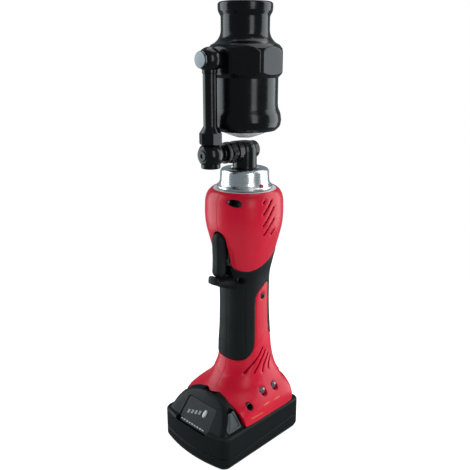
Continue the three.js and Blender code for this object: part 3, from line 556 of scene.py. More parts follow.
floor_material = bpy.data.materials.new("pale_floor")
floor_material.use_nodes = True
set_inputs(
    floor_material.node_tree.nodes["Principled BSDF"], Base_Color=(0.5, 0.5, 0.5, 1), Roughness=0.9,
    Specular_IOR_Level=0.0, Emission_Color=(1, 1, 1, 1), Emission_Strength=0.85
)
floor_mesh = cylinder(-2.0, -0.05, FLOOR_RADIUS, 128)
floor_mesh.transform(Matrix.Scale(MM, 4))
floor_mesh.materials.append(floor_material)
floor = bpy.data.objects.new("floor", floor_mesh)
link(floor)
floor.visible_glossy = False

# ---- battery

BATTERY_HALF = 38.4
BATTERY_FRONT = -61.5
BATTERY_BACK = 34.0
BATTERY_BULGE = 5.5
FRONT_CORNER = 5.5
BACK_CORNER = 6


def plan(half, front, back, bulge, front_corner, back_corner, z, fine=12, along=36):
    """A level outline with round corners whose front edge bulges forward."""
    points = []

    def corner(cx, cy, radius, start):
        for k in range(fine + 1):
            turn = radians(start + 90 * k / fine)
            points.append((cx + radius * cos(turn), cy + radius * sin(turn)))

    corner(half - back_corner, back - back_corner, back_corner, 0)
    for k in range(1, along):
        points.append((half - back_corner - 2 * (half - back_corner) * k / along, back))
    corner(-half + back_corner, back - back_corner, back_corner, 90)
    for k in range(1, along):
        run = (front + front_corner - back + back_corner) * k / along
        points.append((-half, back - back_corner + run))
    corner(-half + front_corner, front + front_corner, front_corner, 180)
    flat = half - front_corner
    for k in range(1, along):
        points.append((-flat + 2 * flat * k / along, front))
    corner(half - front_corner, front + front_corner, front_corner, 270)
    for k in range(1, along):
        run = (back - back_corner - front - front_corner) * k / along
        points.append((half, front + front_corner + run))
    xy = np.array(points)
    forward = np.clip((front_corner + front - xy[:, 1]) / front_corner, 0, 1)
    bend = bulge * (1 - (xy[:, 0] / half) ** 2) * forward
    return np.stack([xy[:, 0], xy[:, 1] - bend, np.full(len(xy), z)], axis=-1)


def battery_plan(z, inset):
    return plan(
        BATTERY_HALF - inset, BATTERY_FRONT + inset, BATTERY_BACK - inset, BATTERY_BULGE,
        max(FRONT_CORNER - inset / 2, 2.5), max(BACK_CORNER - inset / 2, 2), z
    )


def edge(z, inset, radius, up=1, steps=6):
    """Levels that round an edge: up 1 for the top of a wall, -1 for its foot."""
    made = []
    for k in range(steps + 1):
        turn = pi / 2 * (k / steps if up > 0 else 1 - k / steps)
        rise = up * radius * (sin(turn) - 1)
        made.append(battery_plan(z + rise, inset + radius * (1 - cos(turn))))
    return made


def follow_seam(levels, share=1.0):
    """Bends level outlines to the seam, which rises to the back and steps at the front corners."""
    for level in levels:
        y = level[:, 1]
        side = 0.4 + 0.055 * (y + 13.1)
        corner = smooth((y + 61.0) / 3.5)
        level[:, 2] += share * (0.2 + (side - 0.2) * corner)
    return levels


base_outer = skin(
    edge(0.0, 1.4, 1.2, -1) + [
        battery_plan(3.0, 0.35), battery_plan(4.2, 0.0)
    ] + follow_seam(edge(SKID_TOP, 0.0, 0.8))
)
base_inner = skin([battery_plan(1.8, 3.4), battery_plan(3.0, 1.9), battery_plan(SKID_TOP + 4, 1.9)])
skid_grooves = [
    prism(
        soften([(x - 1.2, -38), (x + 1.2, -38), (x + 1.2, 22), (x - 1.2, 22)], 1.1, True), -1, 0.7, "z"
    )
    for x in (-24, -12, 0, 12, 24)
]
piece(
    "battery_base_shell", cut(base_outer, base_inner, *skid_grooves), "battery", CHARCOAL,
    ["battery_base"]
)

# y, z and half width of the gauge window at its upper and lower edge
WINDOW_TOP = (-50.0, 44.5, 17.0)
WINDOW_BOTTOM = (-63.5, 26.0, 18.6)
WINDOW_RUN = WINDOW_TOP[0] - WINDOW_BOTTOM[0]
WINDOW_RISE = WINDOW_TOP[1] - WINDOW_BOTTOM[1]
WINDOW_SLOPE = atan2(WINDOW_RISE, WINDOW_RUN)
WINDOW_LENGTH = hypot(WINDOW_RISE, WINDOW_RUN)
WINDOW_MIDDLE = (0, (WINDOW_TOP[0] + WINDOW_BOTTOM[0]) / 2, (WINDOW_TOP[1] + WINDOW_BOTTOM[1]) / 2)
window_frame = Matrix.Translation(WINDOW_MIDDLE) @ Matrix.Rotation(WINDOW_SLOPE, 4, "X")


def on_window(outline, low, high, bevel=0.0):
    """A prism that stands on the sloping window: outline in its plane, heights out of it."""
    return moved(prism(outline, low, high, "z", bevel), window_frame)


def window_outline(grow, corner):
    top = WINDOW_LENGTH / 2 + grow
    low, high = WINDOW_BOTTOM[2] + grow, WINDOW_TOP[2] + grow
    return soften([(-low, -top), (low, -top), (high, top), (-high, top)], corner, True, 8)


def ellipse(cx, cy, a, b, lean=0.0, count=40):
    out = []
    for k in range(count):
        t = 2 * pi * k / count
        u, v = a * cos(t), b * sin(t)
        out.append((cx + u * cos(lean) - v * sin(lean), cy + u * sin(lean) + v * cos(lean)))
    return out


DOME_BACK_LOW = -35.5
DOME_BACK_HIGH = -40.6
DOME_EDGE = 1.8


def dome_back(z):
    return DOME_BACK_LOW + (z - RAIL_TOP) / (DOME_TOP - RAIL_TOP) * (DOME_BACK_HIGH - DOME_BACK_LOW)


def dome_front(z):
    return WINDOW_TOP[0] + (z - WINDOW_TOP[1]) * (WINDOW_RUN / WINDOW_RISE)


DOME_HEIGHTS = (22.0, 29.5, 34.0, 38.0, 42.0, 45.0, 47.5, 49.5, 51.0, 52.0)
DOME_HALVES = (35.5, 35.2, 33.7, 31.7, 29.0, 26.3, 23.0, 18.8, 14.2, 9.0)


def dome_level(z, inset):
    half = float(np.interp(z, DOME_HEIGHTS, DOME_HALVES))
    front = min(dome_front(z) + 1.2, dome_back(z) - 4)
    level = plan(half - inset, front + inset, dome_back(z) - inset, 1.6, 5.5, 1.6, z)
    shell_front = BATTERY_FRONT - BATTERY_BULGE * (1 - (level[:, 0] / BATTERY_HALF) ** 2)
    level[:, 1] = np.maximum(level[:, 1], shell_front + 1.2)
    return level


def dome(inset=0.0):
    levels = [dome_level(z, inset) for z in np.linspace(22, DOME_TOP - DOME_EDGE, 46)]
    for k in range(1, 9):
        turn = pi / 2 * k / 8
        drop = DOME_EDGE * (1 - sin(turn))
        levels.append(dome_level(DOME_TOP - drop, inset + DOME_EDGE * (1 - cos(turn)) * 0.75))
    return skin(levels)


LATCH_OUTLINE = [
    (-38.4, 30.9), (-53.6, 30.9), (-54.6, 33.2), (-45.8, 44.4), (-42.8, 46.0), (-41.2, 44.2)
]


def grown(outline, amount):
    """The outline, each edge pushed out by the amount."""
    points = np.array(outline, float)
    area = 0.5 * np.sum(
        points[:, 0] * np.roll(points[:, 1], -1) - np.roll(points[:, 0], -1) * points[:, 1]
    )
    sign = 1.0 if area > 0 else -1.0
    out = []
    for i in range(len(points)):
        before = points[i] - points[i - 1]
        after = points[(i + 1) % len(points)] - points[i]
        n0 = sign * np.array([before[1], -before[0]]) / np.linalg.norm(before)
        n1 = sign * np.array([after[1], -after[0]]) / np.linalg.norm(after)
        out.append(tuple(points[i] + amount * (n0 + n1) / (1 + n0 @ n1)))
    return out


dome_outer = dome()
cover_levels = (
    follow_seam(edge(SKID_TOP + GAP + 0.01, 0.0, 0.7, -1)) + [
        follow_seam([battery_plan(z, 0.0)], 1 - smooth((z - 12.5) / 9.0))[0]
        for z in np.linspace(12.4, 24, 12)
    ] + edge(RAIL_TOP, 0.0, 2.2, 1, 8)
)
cover_inner = skin(
    [
        battery_plan(SKID_TOP - 4, 1.9), battery_plan(RAIL_TOP - 3, 2.4),
        battery_plan(RAIL_TOP - 1.2, 4.2)
    ]
)
deck_outline = soften([(-34, -50), (34, -50), (34, 28), (-34, 28)], 3, True)
deck = prism(deck_outline, RAIL_TOP - 2, DECK_TOP, "z", 0.4)
rail_stem = box(-22, 22, -38, 26.5, DECK_TOP - 1, 36.4)
rail_flange = prism(
    soften([(-27, -38), (27, -38), (27, 26.5), (-27, 26.5)], 1.5, True), 36, 40, "z", 0.5
)
cover = join(skin(cover_levels), dome_outer, deck, rail_stem, rail_flange)
terminal_slots = [box(x - 1.4, x + 1.4, 4, 60, 35, 60) for x in (-15, -5, 5, 15)]
window_recess = on_window(window_outline(0.0, 2.2), -2.2, 8)
window_chamfer = on_window(window_outline(0.55, 2.6), -0.55, 8)


def sideways(outline, near, side):
    """A prism of a (y, z) outline that runs outward from x near, on one side."""
    low, high = (near, FAR) if side > 0 else (-FAR, -near)
    return prism(outline, low, high, "x")


def latch_pocket(side):
    return sideways(soften(grown(LATCH_OUTLINE, 0.8), 1.6, True), 24.4, side)


def button_outline(grow):
    return ellipse(6.4, 3.3, 1.9 + grow, 3.5 + grow, -0.12)


cover = cut(
    cover, cover_inner, box(-22, 22, -49, -42.5, RAIL_TOP - 3, 41), *terminal_slots, window_recess,
    window_chamfer, latch_pocket(1), latch_pocket(-1), on_window(ellipse(6.4, 3.3, 3.6, 4.2), -6, 6)
)
piece("battery_cover_shell", cover, "battery", CHARCOAL, ["battery_cover"], 28)

window_panel = cut(
    on_window(window_outline(-0.3, 2.0), -1.9, -0.75, 0.18), on_window(button_outline(0.25), -5, 5)
)
piece("gauge_panel", window_panel, "battery", PANEL, ["gauge_window"])
for k in range(4):
    x = -11.0 + k * 3.97
    y = -1.2 + k * 1.13
    bar = [(x - 1.5, y - 1.9), (x + 0.8, y - 1.6), (x + 1.4, y + 1.9), (x - 0.9, y + 1.6)]
    piece(
        f"gauge_bar_{k + 1}", on_window(soften(bar, 0.4, True), -1.1, -0.55, 0.12), "battery", BAR_GREY,
    )
for k in range(9):
    x = -15.9 + k * 3.25
    dash = [(x, -9.7), (x + 2.4, -9.7), (x + 2.4, -8.7), (x, -8.7)]
    piece(
        f"gauge_line_{k + 1}", on_window(soften(dash, 0.3, True), -1.1, -0.62, 0.08), "battery",
        PALE_PRINT
    )
piece(
    "gauge_button_cap", on_window(button_outline(0.0), -3.2, 0.15, 0.7), "gauge_button", BUTTON_GREY,
    ["gauge_button"]
)

for side, side_name in ((1, "right"), (-1, "left")):
    body = common(dome(0.15), sideways(soften(LATCH_OUTLINE, 1.3, True), 27.2, side))
    ridge = soften([(-50.9, 33.4), (-52.2, 33.4), (-46.5, 44.6), (-45.4, 44.6)], 0.5, True)
    scoop = soften([(-40.2, 32.6), (-50.0, 32.6), (-44.8, 44.6), (-43.0, 44.6)], 1.2, True)
    dished = cut(body, cut(sideways(scoop, 27.0, side), dome(0.75)))
    raised = common(dome(-0.25), sideways(ridge, 27.2, side))
    piece(
        f"latch_{side_name}_button", join(dished, raised), f"latch_{side_name}", LATCH_GREY,
        [f"latch_{side_name}"], 26
    )

# ---- handle surface

SECTIONS = [
    (30, 37.6, 46, 31, 7.0, 7.0), (36, 37.5, 46, 31, 6.8, 6.8), (40, 37.0, 45, 30.8, 5.4, 6.0),
    (44, 35.8, 44.2, 30.5, 4.0, 5.2), (47, 34.0, 43.4, 30.2, 3.1, 4.6),
    (52.5, 29.0, 37.2, 29.6, 2.2, 3.5), (55.5, 26.9, 33.2, 29.0, 2.15, 3.1),
    (59, 24.9, 30.0, 28.4, 2.15, 2.8), (65, 22.9, 25.6, 27.8, 2.3, 2.5),
    (71, 21.9, 23.2, 26.8, 2.3, 2.4), (77, 21.2, 22.4, 25.6, 2.3, 2.4),
    (89, 20.6, 21.9, 24.6, 2.3, 2.3), (100, 19.9, 21.2, 23.6, 2.3, 2.3),
    (112, 19.4, 21.0, 22.7, 2.3, 2.3), (135, 19.2, 21.0, 22.1, 2.3, 2.3),
    (151, 19.9, 21.6, 22.5, 2.3, 2.3), (162, 22.4, 24.1, 24.3, 2.3, 2.3),
    (173, 24.9, 26.4, 26.4, 2.3, 2.3), (184, 27.7, 29.1, 28.8, 2.3, 2.3),
    (194, 30.0, 31.4, 30.7, 2.3, 2.3), (201, 30.7, 32.1, 31.2, 2.3, 2.3),
    (210, 30.7, 32.1, 31.2, 2.3, 2.3), (216, 30.3, 31.6, 30.8, 2.3, 2.3),
    (220.5, 29.3, 30.4, 29.8, 2.2, 2.2), (223.2, 27.8, 28.6, 28.2, 2.1, 2.1),
    (224.5, 26.6, 26.8, 26.6, 2.0, 2.0)
]

front_line = [(-27.2, 178), (-25.6, 174), (-23.2, 163.5), (-20.4, 159.4), (-15.5, 158.2)]
front_line += [(-8.5, 158.8), (1.4, 162.6), (10.5, 167.9), (19, 173), (32, 176)]
rear_line = [(32, 90), (18, 91), (13.4, 95), (12, 101), (12.4, 136), (11.6, 141.2), (8.4, 143.2)]
rear_line += [(2.5, 140.4), (-3.6, 135.4), (-5.4, 129), (-5.8, 110), (-6.9, 92), (-9.4, 83.5)]
rear_line += [(-14.4, 78.2), (-19.6, 76.2), (-30, 75.6)]
GRIP_OUTLINE = (
    [(-60.0, 178.0)] + spline(front_line, 4) + [
        (60.0, 180.0), (60.0, 88.0)
    ] + spline(rear_line, 4) + [(-60.0, 74.0)]
)
UPPER_VENTS = [
    [(-9.4, 216.2), (-7.2, 218.6)], [(-9.6, 207), (0.2, 218.4)], [(-9.4, 197.6), (2.4, 212.6)],
    [(-7.6, 189.6), (2.6, 203.2)], [(0.8, 189), (4.4, 193.2)]
]
FOOT_VENTS = [
    [(2.6, 84.6), (-1.8, 79.4), (-7.4, 74.2), (-13, 69.4), (-18, 65)],
    [(6.6, 80.8), (2.6, 76.2), (-2, 71.8), (-6, 67.6), (-9.8, 63.8)],
    [(11, 76.4), (7.2, 73), (3.6, 69.6), (1.2, 66.2), (-0.6, 62.4)],
    [(15, 72.8), (12.2, 70.4), (9.8, 67.6), (8.4, 65.2), (7.4, 62.4)]
]
VENTS = UPPER_VENTS + FOOT_VENTS
VENT_WIDTH = 1.8
SCREWS = [
    (-27.2, 217.4, 9.0), (26, 204, 15.0), (-17, 149.5, 8.0), (3.4, 132, 16.8), (20.6, 166, 9.6),
    (-27.6, 44.6, 29.4), (26.4, 52, 15.0)
]
LIGHTS = [(-8.0, 49.6), (6.2, 49.4)]
LIGHT_RADIUS = 3.2
CREASES = [
    [(-34.5, 43.2), (-28.0, 47.6), (-21.2, 52.1), (-16.0, 54.4), (-8.0, 55.6)],
    [(12.0, 102.0), (7.6, 98.6), (-3.5, 89.5), (-9.0, 84.4)]
]


def handle_rings(levels, count, relief):
    """Rings of the handle's surface. relief(x, y, z) gives how far each point lies under it."""
    _, half, front, back, square_front, square_back = table_at(SECTIONS, levels).T[:, :, None]
    angle = 2 * np.pi * (np.arange(count) + 0.5) / count
    c, s = np.cos(angle)[None, :], np.sin(angle)[None, :]
    ahead = s < 0
    power = 2 / np.where(ahead, square_front, square_back)
    reach = np.where(ahead, front, back)
    across = np.sign(c) * np.abs(c) ** power
    along = np.sign(s) * np.abs(s) ** power
    z = np.repeat(np.asarray(levels, float)[:, None], count, axis=1)
    depth = relief(half * across, reach * along, z)
    x = (half - depth) * across
    y = (reach - depth) * along
    return np.stack([x, y, z], axis=-1)


def even(depth):
    return lambda x, y, z: depth


def side_at(y, z):
    """How far out the right side of the handle lies at a height and depth."""
    _, half, front, back, square_front, square_back = table_at(SECTIONS, z)[0]
    reach, square = (front, square_front) if y < 0 else (back, square_back)
    return half * (1 - (abs(y) / reach) ** square) ** (1 / square)


def grip_edge(y, z):
    """Signed distance to the outline of the soft grip, above 0 on the grip."""
    near = distance_to(GRIP_OUTLINE, y, z, True)
    return np.where(inside(GRIP_OUTLINE, y, z), near, -near)


def housing_relief(x, y, z):
    """Rolled edges at the grip, vents, holes and parting line, with the raised creases."""
    depth = 0.5 * (1 - smooth(-grip_edge(y, z) / 1.3)) * (grip_edge(y, z) < 0)
    for route in VENTS:
        near = distance_to(route, y, z)
        depth = depth + 0.28 * (1 - smooth((near - VENT_WIDTH / 2) / 0.7))
    depth = depth + 0.22 * (1 - smooth(np.abs(x) / 0.55))
    for route in CREASES:
        depth = depth - 0.34 * (1 - smooth(distance_to(route, y, z) / 0.95))
    panel_low = 60.0 + 0.33 * np.abs(x)
    panel = smooth((z - panel_low) / 0.9) * smooth((-7.5 - y) / 2.0) * (z < 90)
    depth = depth + 0.42 * panel
    right = x > 0
    for cy, cz in LIGHTS:
        near = np.hypot(y - cy, z - cz)
        depth = depth + right * 0.3 * (1 - smooth((near - 3.5) / 0.8))
    for cy, cz, _ in SCREWS:
        near = np.hypot(y - cy, z - cz)
        depth = depth + right * 0.22 * (1 - smooth((near - 3.0) / 0.6))
    return depth


def grip_relief(x, y, z):
    """The soft grip stands a little proud and rolls down at its edges."""
    on = grip_edge(y, z)
    depth = -0.25 + 0.7 * (1 - smooth(on / 1.5))
    depth = depth + 0.22 * (1 - smooth(np.abs(x) / 0.55))
    ridge = distance_to([(-15.4, 86.0), (-15.2, 112.0), (-14.9, 143.0)], y, z)
    depth = depth + 0.3 * (1 - smooth(ridge / 1.1))
    for cy, cz, _ in SCREWS:
        near = np.hypot(y - cy, z - cz)
        depth = depth + (x > 0) * 0.3 * (1 - smooth((near - 3.0) / 0.8))
    return depth


FINE = 240
LEVELS = np.concatenate([np.linspace(30, 216, 228), np.linspace(216.6, 224.5, 16)])
housing_surface = skin(handle_rings(LEVELS, FINE, housing_relief))
grip_levels = np.linspace(70, 184, 150)
grip_surface = skin(handle_rings(grip_levels, FINE, grip_relief))
coarse = np.linspace(66, 188, 60)
grip_under = skin(handle_rings(coarse, 120, even(OVERMOULD)))
grip_floor = skin(handle_rings(coarse, 120, even(OVERMOULD + GAP)))
cavity_levels = np.linspace(29, 221, 80)
cavity_rings = handle_rings(np.maximum(cavity_levels, 30), 120, even(WALL))
cavity_rings[:, :, 2] = cavity_levels[:, None]
cavity = skin(cavity_rings)
grip_mask = prism(GRIP_OUTLINE, -FAR, FAR, "x")
grip_recess = cut(common(skin(handle_rings(coarse, 120, even(-2.0))), grip_mask), grip_floor)

TRIGGER_SLOT_HALF = 7.1
slot_top = 191 - TRIGGER_SLOT_HALF + 1.4
slot_outline = [(-TRIGGER_SLOT_HALF, 151.2), (TRIGGER_SLOT_HALF, 151.2)] + [
    (TRIGGER_SLOT_HALF * cos(t), slot_top + TRIGGER_SLOT_HALF * sin(t))
    for t in np.linspace(0, pi, 25)
]
trigger_slot = prism(slot_outline, -FAR, -15, "y")
dome_clear = prism(
    [
        (-FAR, 20), (dome_back(20) + GAP, 20), (dome_back(RAIL_TOP) + GAP, RAIL_TOP),
        (dome_back(DOME_TOP) + GAP, DOME_TOP + 0.3), (-FAR, DOME_TOP + 0.3)
    ],
    -FAR, FAR, "x"
)
deck_clear = join(
    box(-34.4, 34.4, -FAR, 28.4, 20, DECK_TOP + GAP), box(-22.4, 22.4, -FAR, 26.9, 20, 36.8),
    box(-27.4, 27.4, -FAR, 26.9, 35.7, 40.4)
)
mouth = lathe([(0, 215), (26.7, 215), (26.7, 224.05), (27.2, 230), (0, 230)], 128)


def slot_along(route, width, low, high):
    """A round-ended slot of one width along a route of (y, z) points."""
    line = spline(route, 4) if len(route) > 2 else route
    near, far = [], []
    for i, (y, z) in enumerate(line):
        y0, z0 = line[max(i - 1, 0)]
        y1, z1 = line[min(i + 1, len(line) - 1)]
        length = hypot(y1 - y0, z1 - z0)
        a, b = -(z1 - z0) / length * width / 2, (y1 - y0) / length * width / 2
        near.append((y + a, z + b))
        far.insert(0, (y - a, z - b))
    return prism(soften(near + far, width * 0.48, True), low, high, "x")


def rod_x(low, high, radius, y, z, sides=40):
    return cylinder(low, high, radius, sides, "x", (0, y, z))


def halves(mesh):
    """The right and the left half of a mesh, with the parting gap between them."""
    right = box(GAP / 2, FAR, -FAR, FAR, -FAR, 3 * FAR)
    left = box(-FAR, -GAP / 2, -FAR, FAR, -FAR, 3 * FAR)
    return common(mesh, right), common(mesh, left)


shell = cut(housing_surface, grip_recess, cavity, trigger_slot, dome_clear, deck_clear, mouth)
shell_right, shell_left = halves(shell)
boss_room = skin(handle_rings(np.linspace(34, 222, 80), 120, even(2.1)))
screw_holes = [rod_x(seat, FAR, 3.0, y, z) for y, z, seat in SCREWS]
light_holes = [rod_x(22, FAR, LIGHT_RADIUS + 0.25, y, z, 48) for y, z in LIGHTS]
for y, z, seat in SCREWS:
    boss = common(rod_x(seat - 0.8, seat + 3, 4.0, y, z), boss_room)
    shell_right = join(shell_right, cut(boss, mouth))
shell_right = cut(
    shell_right, *[slot_along(route, VENT_WIDTH, 8, FAR) for route in VENTS], *screw_holes, *light_holes
)
shell_left = cut(shell_left, *[slot_along(route, VENT_WIDTH, -FAR, -8) for route in VENTS])
piece("housing_right_shell", shell_right, "handle", RED, ["housing_right"])
piece("housing_left_shell", shell_left, "handle", RED, ["housing_left"])

# A black sheet lines the trigger slot inside the red shell: painted shade that darkens the inside of the
# slot.
slot_shade_outline = [(a * 1.28, 152.0 + (b - 152.0) * 1.04) for a, b in slot_outline]
slot_shade_sheet = common(prism(slot_shade_outline, -FAR, -15.4, "y"), skin(handle_rings(coarse, 120, even(0.9))))
slot_shade_sheet = cut(slot_shade_sheet, prism(slot_outline, -FAR, FAR, "y"), rod_x(-30, 30, 2.4, -22.5, 187))
piece("trigger_slot_painted_shade", slot_shade_sheet, "handle", GRIP)

# the hook of the grip under the trigger
guard_rings = []
for t in np.linspace(0, 1, 34):
    y = -14.0 + (-38.4 + 14.0) * t
    under = 138.6 + 6.4 * min(t / 0.72, 1.0) ** 1.2 + 4.6 * max(0.0, (t - 0.72) / 0.28)
    lift = (152.4 + under) / 2
    high = (152.4 - under) / 2
    wide = 9.2 - 3.0 * smooth(t)
    taper = sqrt(max(0.0, 1 - max(0.0, (t - 0.82) / 0.18) ** 2))
    ring = []
    for k in range(56):
        a = 2 * pi * k / 56
        c, s = cos(a), sin(a)
        x = max(wide * taper, 0.4) * squared(c, 0.85)
        z = lift + max(high * taper, 0.25) * squared(s, 0.85)
        ring.append((x, y, z))
    guard_rings.append(ring)
guard_body = skin(guard_rings)
lip_rings = []
for t in np.linspace(0, 1, 18):
    swell = sqrt(max(0.0, 1 - max(0.0, (t - 0.6) / 0.4) ** 2))
    wide = max((6.6 - 1.3 * t) * swell, 0.3)
    deep = max((3.0 - 1.0 * t) * swell, 0.2)
    turns = round_turns(56)
    lip_rings.append([(wide * cos(a), -35.5 - 1.1 * t + deep * sin(a), 148.6 + 6.8 * t) for a in turns])

SEAT_Y = -30.2
SEAT_RADIUS = 6.35
# Thickness of the red layer in the guard's seat, a painted reflection of the red housing.
SEAT_REFLECTION_DEPTH = 0.55


def trigger_seat(y, radius, middle=158.3):
    """The room round the lower end of the trigger: a ball under an upright bar."""
    bowl = [(radius * sin(a), middle - radius * cos(a)) for a in np.linspace(0.1, pi / 2, 14)]
    return lathe([(0, middle - radius)] + bowl + [(radius, 178), (0, 178)], 72, "z", (0, y, 0))


trigger_seats = [trigger_seat(SEAT_Y, SEAT_RADIUS)]
trigger_seats += [trigger_seat(y, SEAT_RADIUS, 157.3) for y in (-29.0, -27.8, -26.6, -25.0)]
trigger_room = prism(slot_outline, -FAR, -8, "y")
grip_body = cut(common(grip_surface, grip_mask), grip_under, trigger_room)
guard_full = cut(join(guard_body, skin(lip_rings)), grip_under)
# A thin red layer over the guard's top where the trigger's foot sits: painted reflection of the red
# housing on the black grip.
seat_reflection_layer = cut(common(guard_full, trigger_seat(SEAT_Y, SEAT_RADIUS + SEAT_REFLECTION_DEPTH)), *trigger_seats)
guard_body = cut(guard_full, trigger_seat(SEAT_Y, SEAT_RADIUS + SEAT_REFLECTION_DEPTH + 0.05), *trigger_seats[1:])
piece("guard_seat_painted_reflection", seat_reflection_layer, "handle", RED)
grip_right, grip_left = halves(join(grip_body, guard_body))
grip_right = cut(grip_right, *screw_holes)
piece("grip_right_sleeve", grip_right, "handle", GRIP, ["grip_right"])
piece("grip_left_sleeve", grip_left, "handle", GRIP, ["grip_left"])

recess_limit = skin(handle_rings(np.linspace(31, 223, 110), 160, even(0.45)))
for k, (y, z, seat) in enumerate(SCREWS):
    top = seat + 2.6
    shank = [(0, seat - 2.2), (1.2, seat - 2.2), (1.2, seat + GAP)]
    head = soften(shank + [(2.5, seat + GAP), (2.5, top, 0.7), (0, top)], 0.15)
    socket = []
    for a in round_turns(48):
        star = 1.25 + 0.28 * cos(6 * a)
        socket.append((y + star * cos(a), z + star * sin(a)))
    screw = cut(lathe(head, 48, "x", (0, y, z)), prism(socket, top - 1.4, top + 1, "x"))
    name = f"housing_screw_{k + 1}"
    piece(name + "_head", screw, "handle", SCREW_STEEL, [name])
    # A thin black sleeve lines each screw hole down to the screw head: painted shade that darkens the
    # hole walls.
    sleeve = [(2.62, seat + 0.05), (2.98, seat + 0.05), (2.98, 60), (2.62, 60)]
    recess = common(lathe(sleeve, 48, "x", (0, y, z)), recess_limit)
    piece(f"screw_hole_painted_shade_{k + 1}", recess, "handle", GRIP)

for k, (y, z) in enumerate(LIGHTS):
    rim = side_at(y, z) - 1.5
    profile = [(0, 24), (LIGHT_RADIUS, 24), (LIGHT_RADIUS, rim - 0.2)]
    for a in np.linspace(0.0, pi / 2 - 0.1, 10):
        profile.append((LIGHT_RADIUS * cos(a), rim + 1.3 * sin(a)))
    profile.append((0, rim + 1.3))
    lens = lathe(profile, 48, "x", (0, y, z))
    piece(f"status_lens_{k + 1}", lens, "handle", LENS, [f"status_light_{k + 1}"])


def on_side(route, low, high, width):
    """A thin printed bar that follows the side of the foot."""
    levels = np.linspace(30.5, 60, 40)
    skin_low = skin(handle_rings(levels, 200, even(-low)))
    skin_high = skin(handle_rings(levels, 200, even(-high)))
    bar = slot_along(route, width, 20, FAR)
    return cut(common(skin_high, bar), skin_low)


PRINTS = [
    ([(-13.4, 41.0), (-6.6, 41.0)], 0.75), ([(0.8, 40.6), (7.6, 40.6)], 0.75),
    ([(-29.2, 35.4), (-15.2, 35.2)], 0.6)
]
for k, (route, width) in enumerate(PRINTS):
    piece(f"foot_mark_{k + 1}", on_side(route, -0.1, 0.06, width), "handle", YELLOW_PRINT)

# ---- trigger

TRIGGER_HALF = 5.7
TRIGGER_MIDDLE = 171.8
TRIGGER_HALF_LENGTH = 19.2
TRIGGER_Y = -30.2
PIN_Y = -22.5
PIN_Z = 187
trigger_rings = []
for t in np.linspace(-1, 1, 72):
    z = TRIGGER_MIDDLE + TRIGGER_HALF_LENGTH * sin(t * pi / 2) * 0.999
    run = abs(z - TRIGGER_MIDDLE)
    straight = TRIGGER_HALF_LENGTH - TRIGGER_HALF
    end = max(0.0, (run - straight) / TRIGGER_HALF)
    scale = sqrt(max(0.0, 1 - end * end)) if end > 0 else 1.0
    scale = max(scale, 0.03)
    bow = 0.9 * sin(pi * (z - 152.6) / 38.4)
    ring = []
    for k in range(56):
        a = 2 * pi * k / 56
        c, s = cos(a), sin(a)
        flat = 0.9 if s < 0 else 1.0
        x = TRIGGER_HALF * scale * squared(c, flat)
        dish = 0.55 * exp(-((x / 2.6) ** 2)) * (s < 0) * scale
        y = TRIGGER_Y + bow + dish + TRIGGER_HALF * scale * squared(s, flat)
        ring.append((x, y, z))
    trigger_rings.append(ring)
web = prism([(-30, 160), (-25, 160), (-19.6, 182), (-19.6, 189.6), (-30, 189.6)], -2.6, 2.6, "x", 0.3)
pin_hole = rod_x(-30, 30, 2.3, PIN_Y, PIN_Z)
trigger = cut(join(skin(trigger_rings), web), pin_hole)
piece("trigger_lever", trigger, "trigger", GRIP, ["trigger"])
pin = soften([(0, -9.2), (2.0, -9.2, 0.4), (2.0, 9.2, 0.4), (0, 9.2)], 0.4)
piece(
    "trigger_pin_rod", lathe(pin, 40, "x", (0, PIN_Y, PIN_Z)), "handle", STEEL, ["trigger_pin"]
)

# ---- collar, elbow and arm

seal = soften([(17.5, 221.3), (26.3, 221.3), (26.3, 224.2, 0.8), (17.5, 224.2, 0.5)], 0.2, True)
piece("collar_seal_ring", lathe(seal, 128), "handle", PALE_RING, ["collar_seal"])

collar_profile = soften(
    [
        (7.4, COLLAR_BOTTOM), (23.1, COLLAR_BOTTOM, 0.3), (23.1, COLLAR_BOTTOM + 1.7, 0.35),
        (22.3, COLLAR_BOTTOM + 2.2, 0.4), (21.0, COLLAR_BOTTOM + 3.6, 1.6),
        (20.3, COLLAR_BOTTOM + 6.0, 2.4), (19.8, COLLAR_TOP, 3.8), (13.6, COLLAR_TOP, 0.5),
        (12.4, COLLAR_TOP - 1.1, 0.4), (12.4, 233.0, 0.5), (7.4, 233.0, 0.3)
    ],
    0.3, True, 8
)
piece("collar_ring", lathe(collar_profile, 160), "swivel", POLISHED, ["collar"])
mark_profile = soften([(0, 20.2), (1.8, 20.2), (1.8, 22.2, 0.4), (0, 22.2)], 0.1)
mark = lathe(mark_profile, 32, "x", (0, 0, COLLAR_BOTTOM + 3.2))
mark = moved(mark, Matrix.Rotation(radians(-7), 4, "Z"))
piece("index_mark_dot", mark, "swivel", MARK, ["index_mark"])

ELBOW_RADIUS = 9.9
post = [(0, 204), (7, 204, 0.4), (7, 233.3), (ELBOW_RADIUS, 233.3, 0.5), (ELBOW_RADIUS, ELBOW_Z - 2)]
post = soften(post, 0.3)[:-1]
for a in np.linspace(-0.05, 0.84, 16):
    post.append((ELBOW_RADIUS * cos(a), ELBOW_Z + ELBOW_RADIUS * sin(a)))
post += [(5.9, ELBOW_Z + 7.38), (0, ELBOW_Z + 7.38)]
arm = soften(
    [
        (0, -36), (4, -36, 0.4), (4, -27.4), (6, -27.2, 0.5), (6, -13.8, 0.4), (8.6, -13.4, 0.6),
        (8.6, -9, 0.6), (7.2, -8, 0.6), (7.2, 10.6, 0.9), (6.2, 11.4, 0.4), (0, 11.4)
    ],
    0.3
)
elbow = cut(
    join(lathe(post, 112), lathe(arm, 96, "y", (0, 0, ELBOW_Z))), cylinder(259, 264, 5.8),
    cylinder(9.4, 14, 4.8, 64, "y", (0, 0, ELBOW_Z))
)


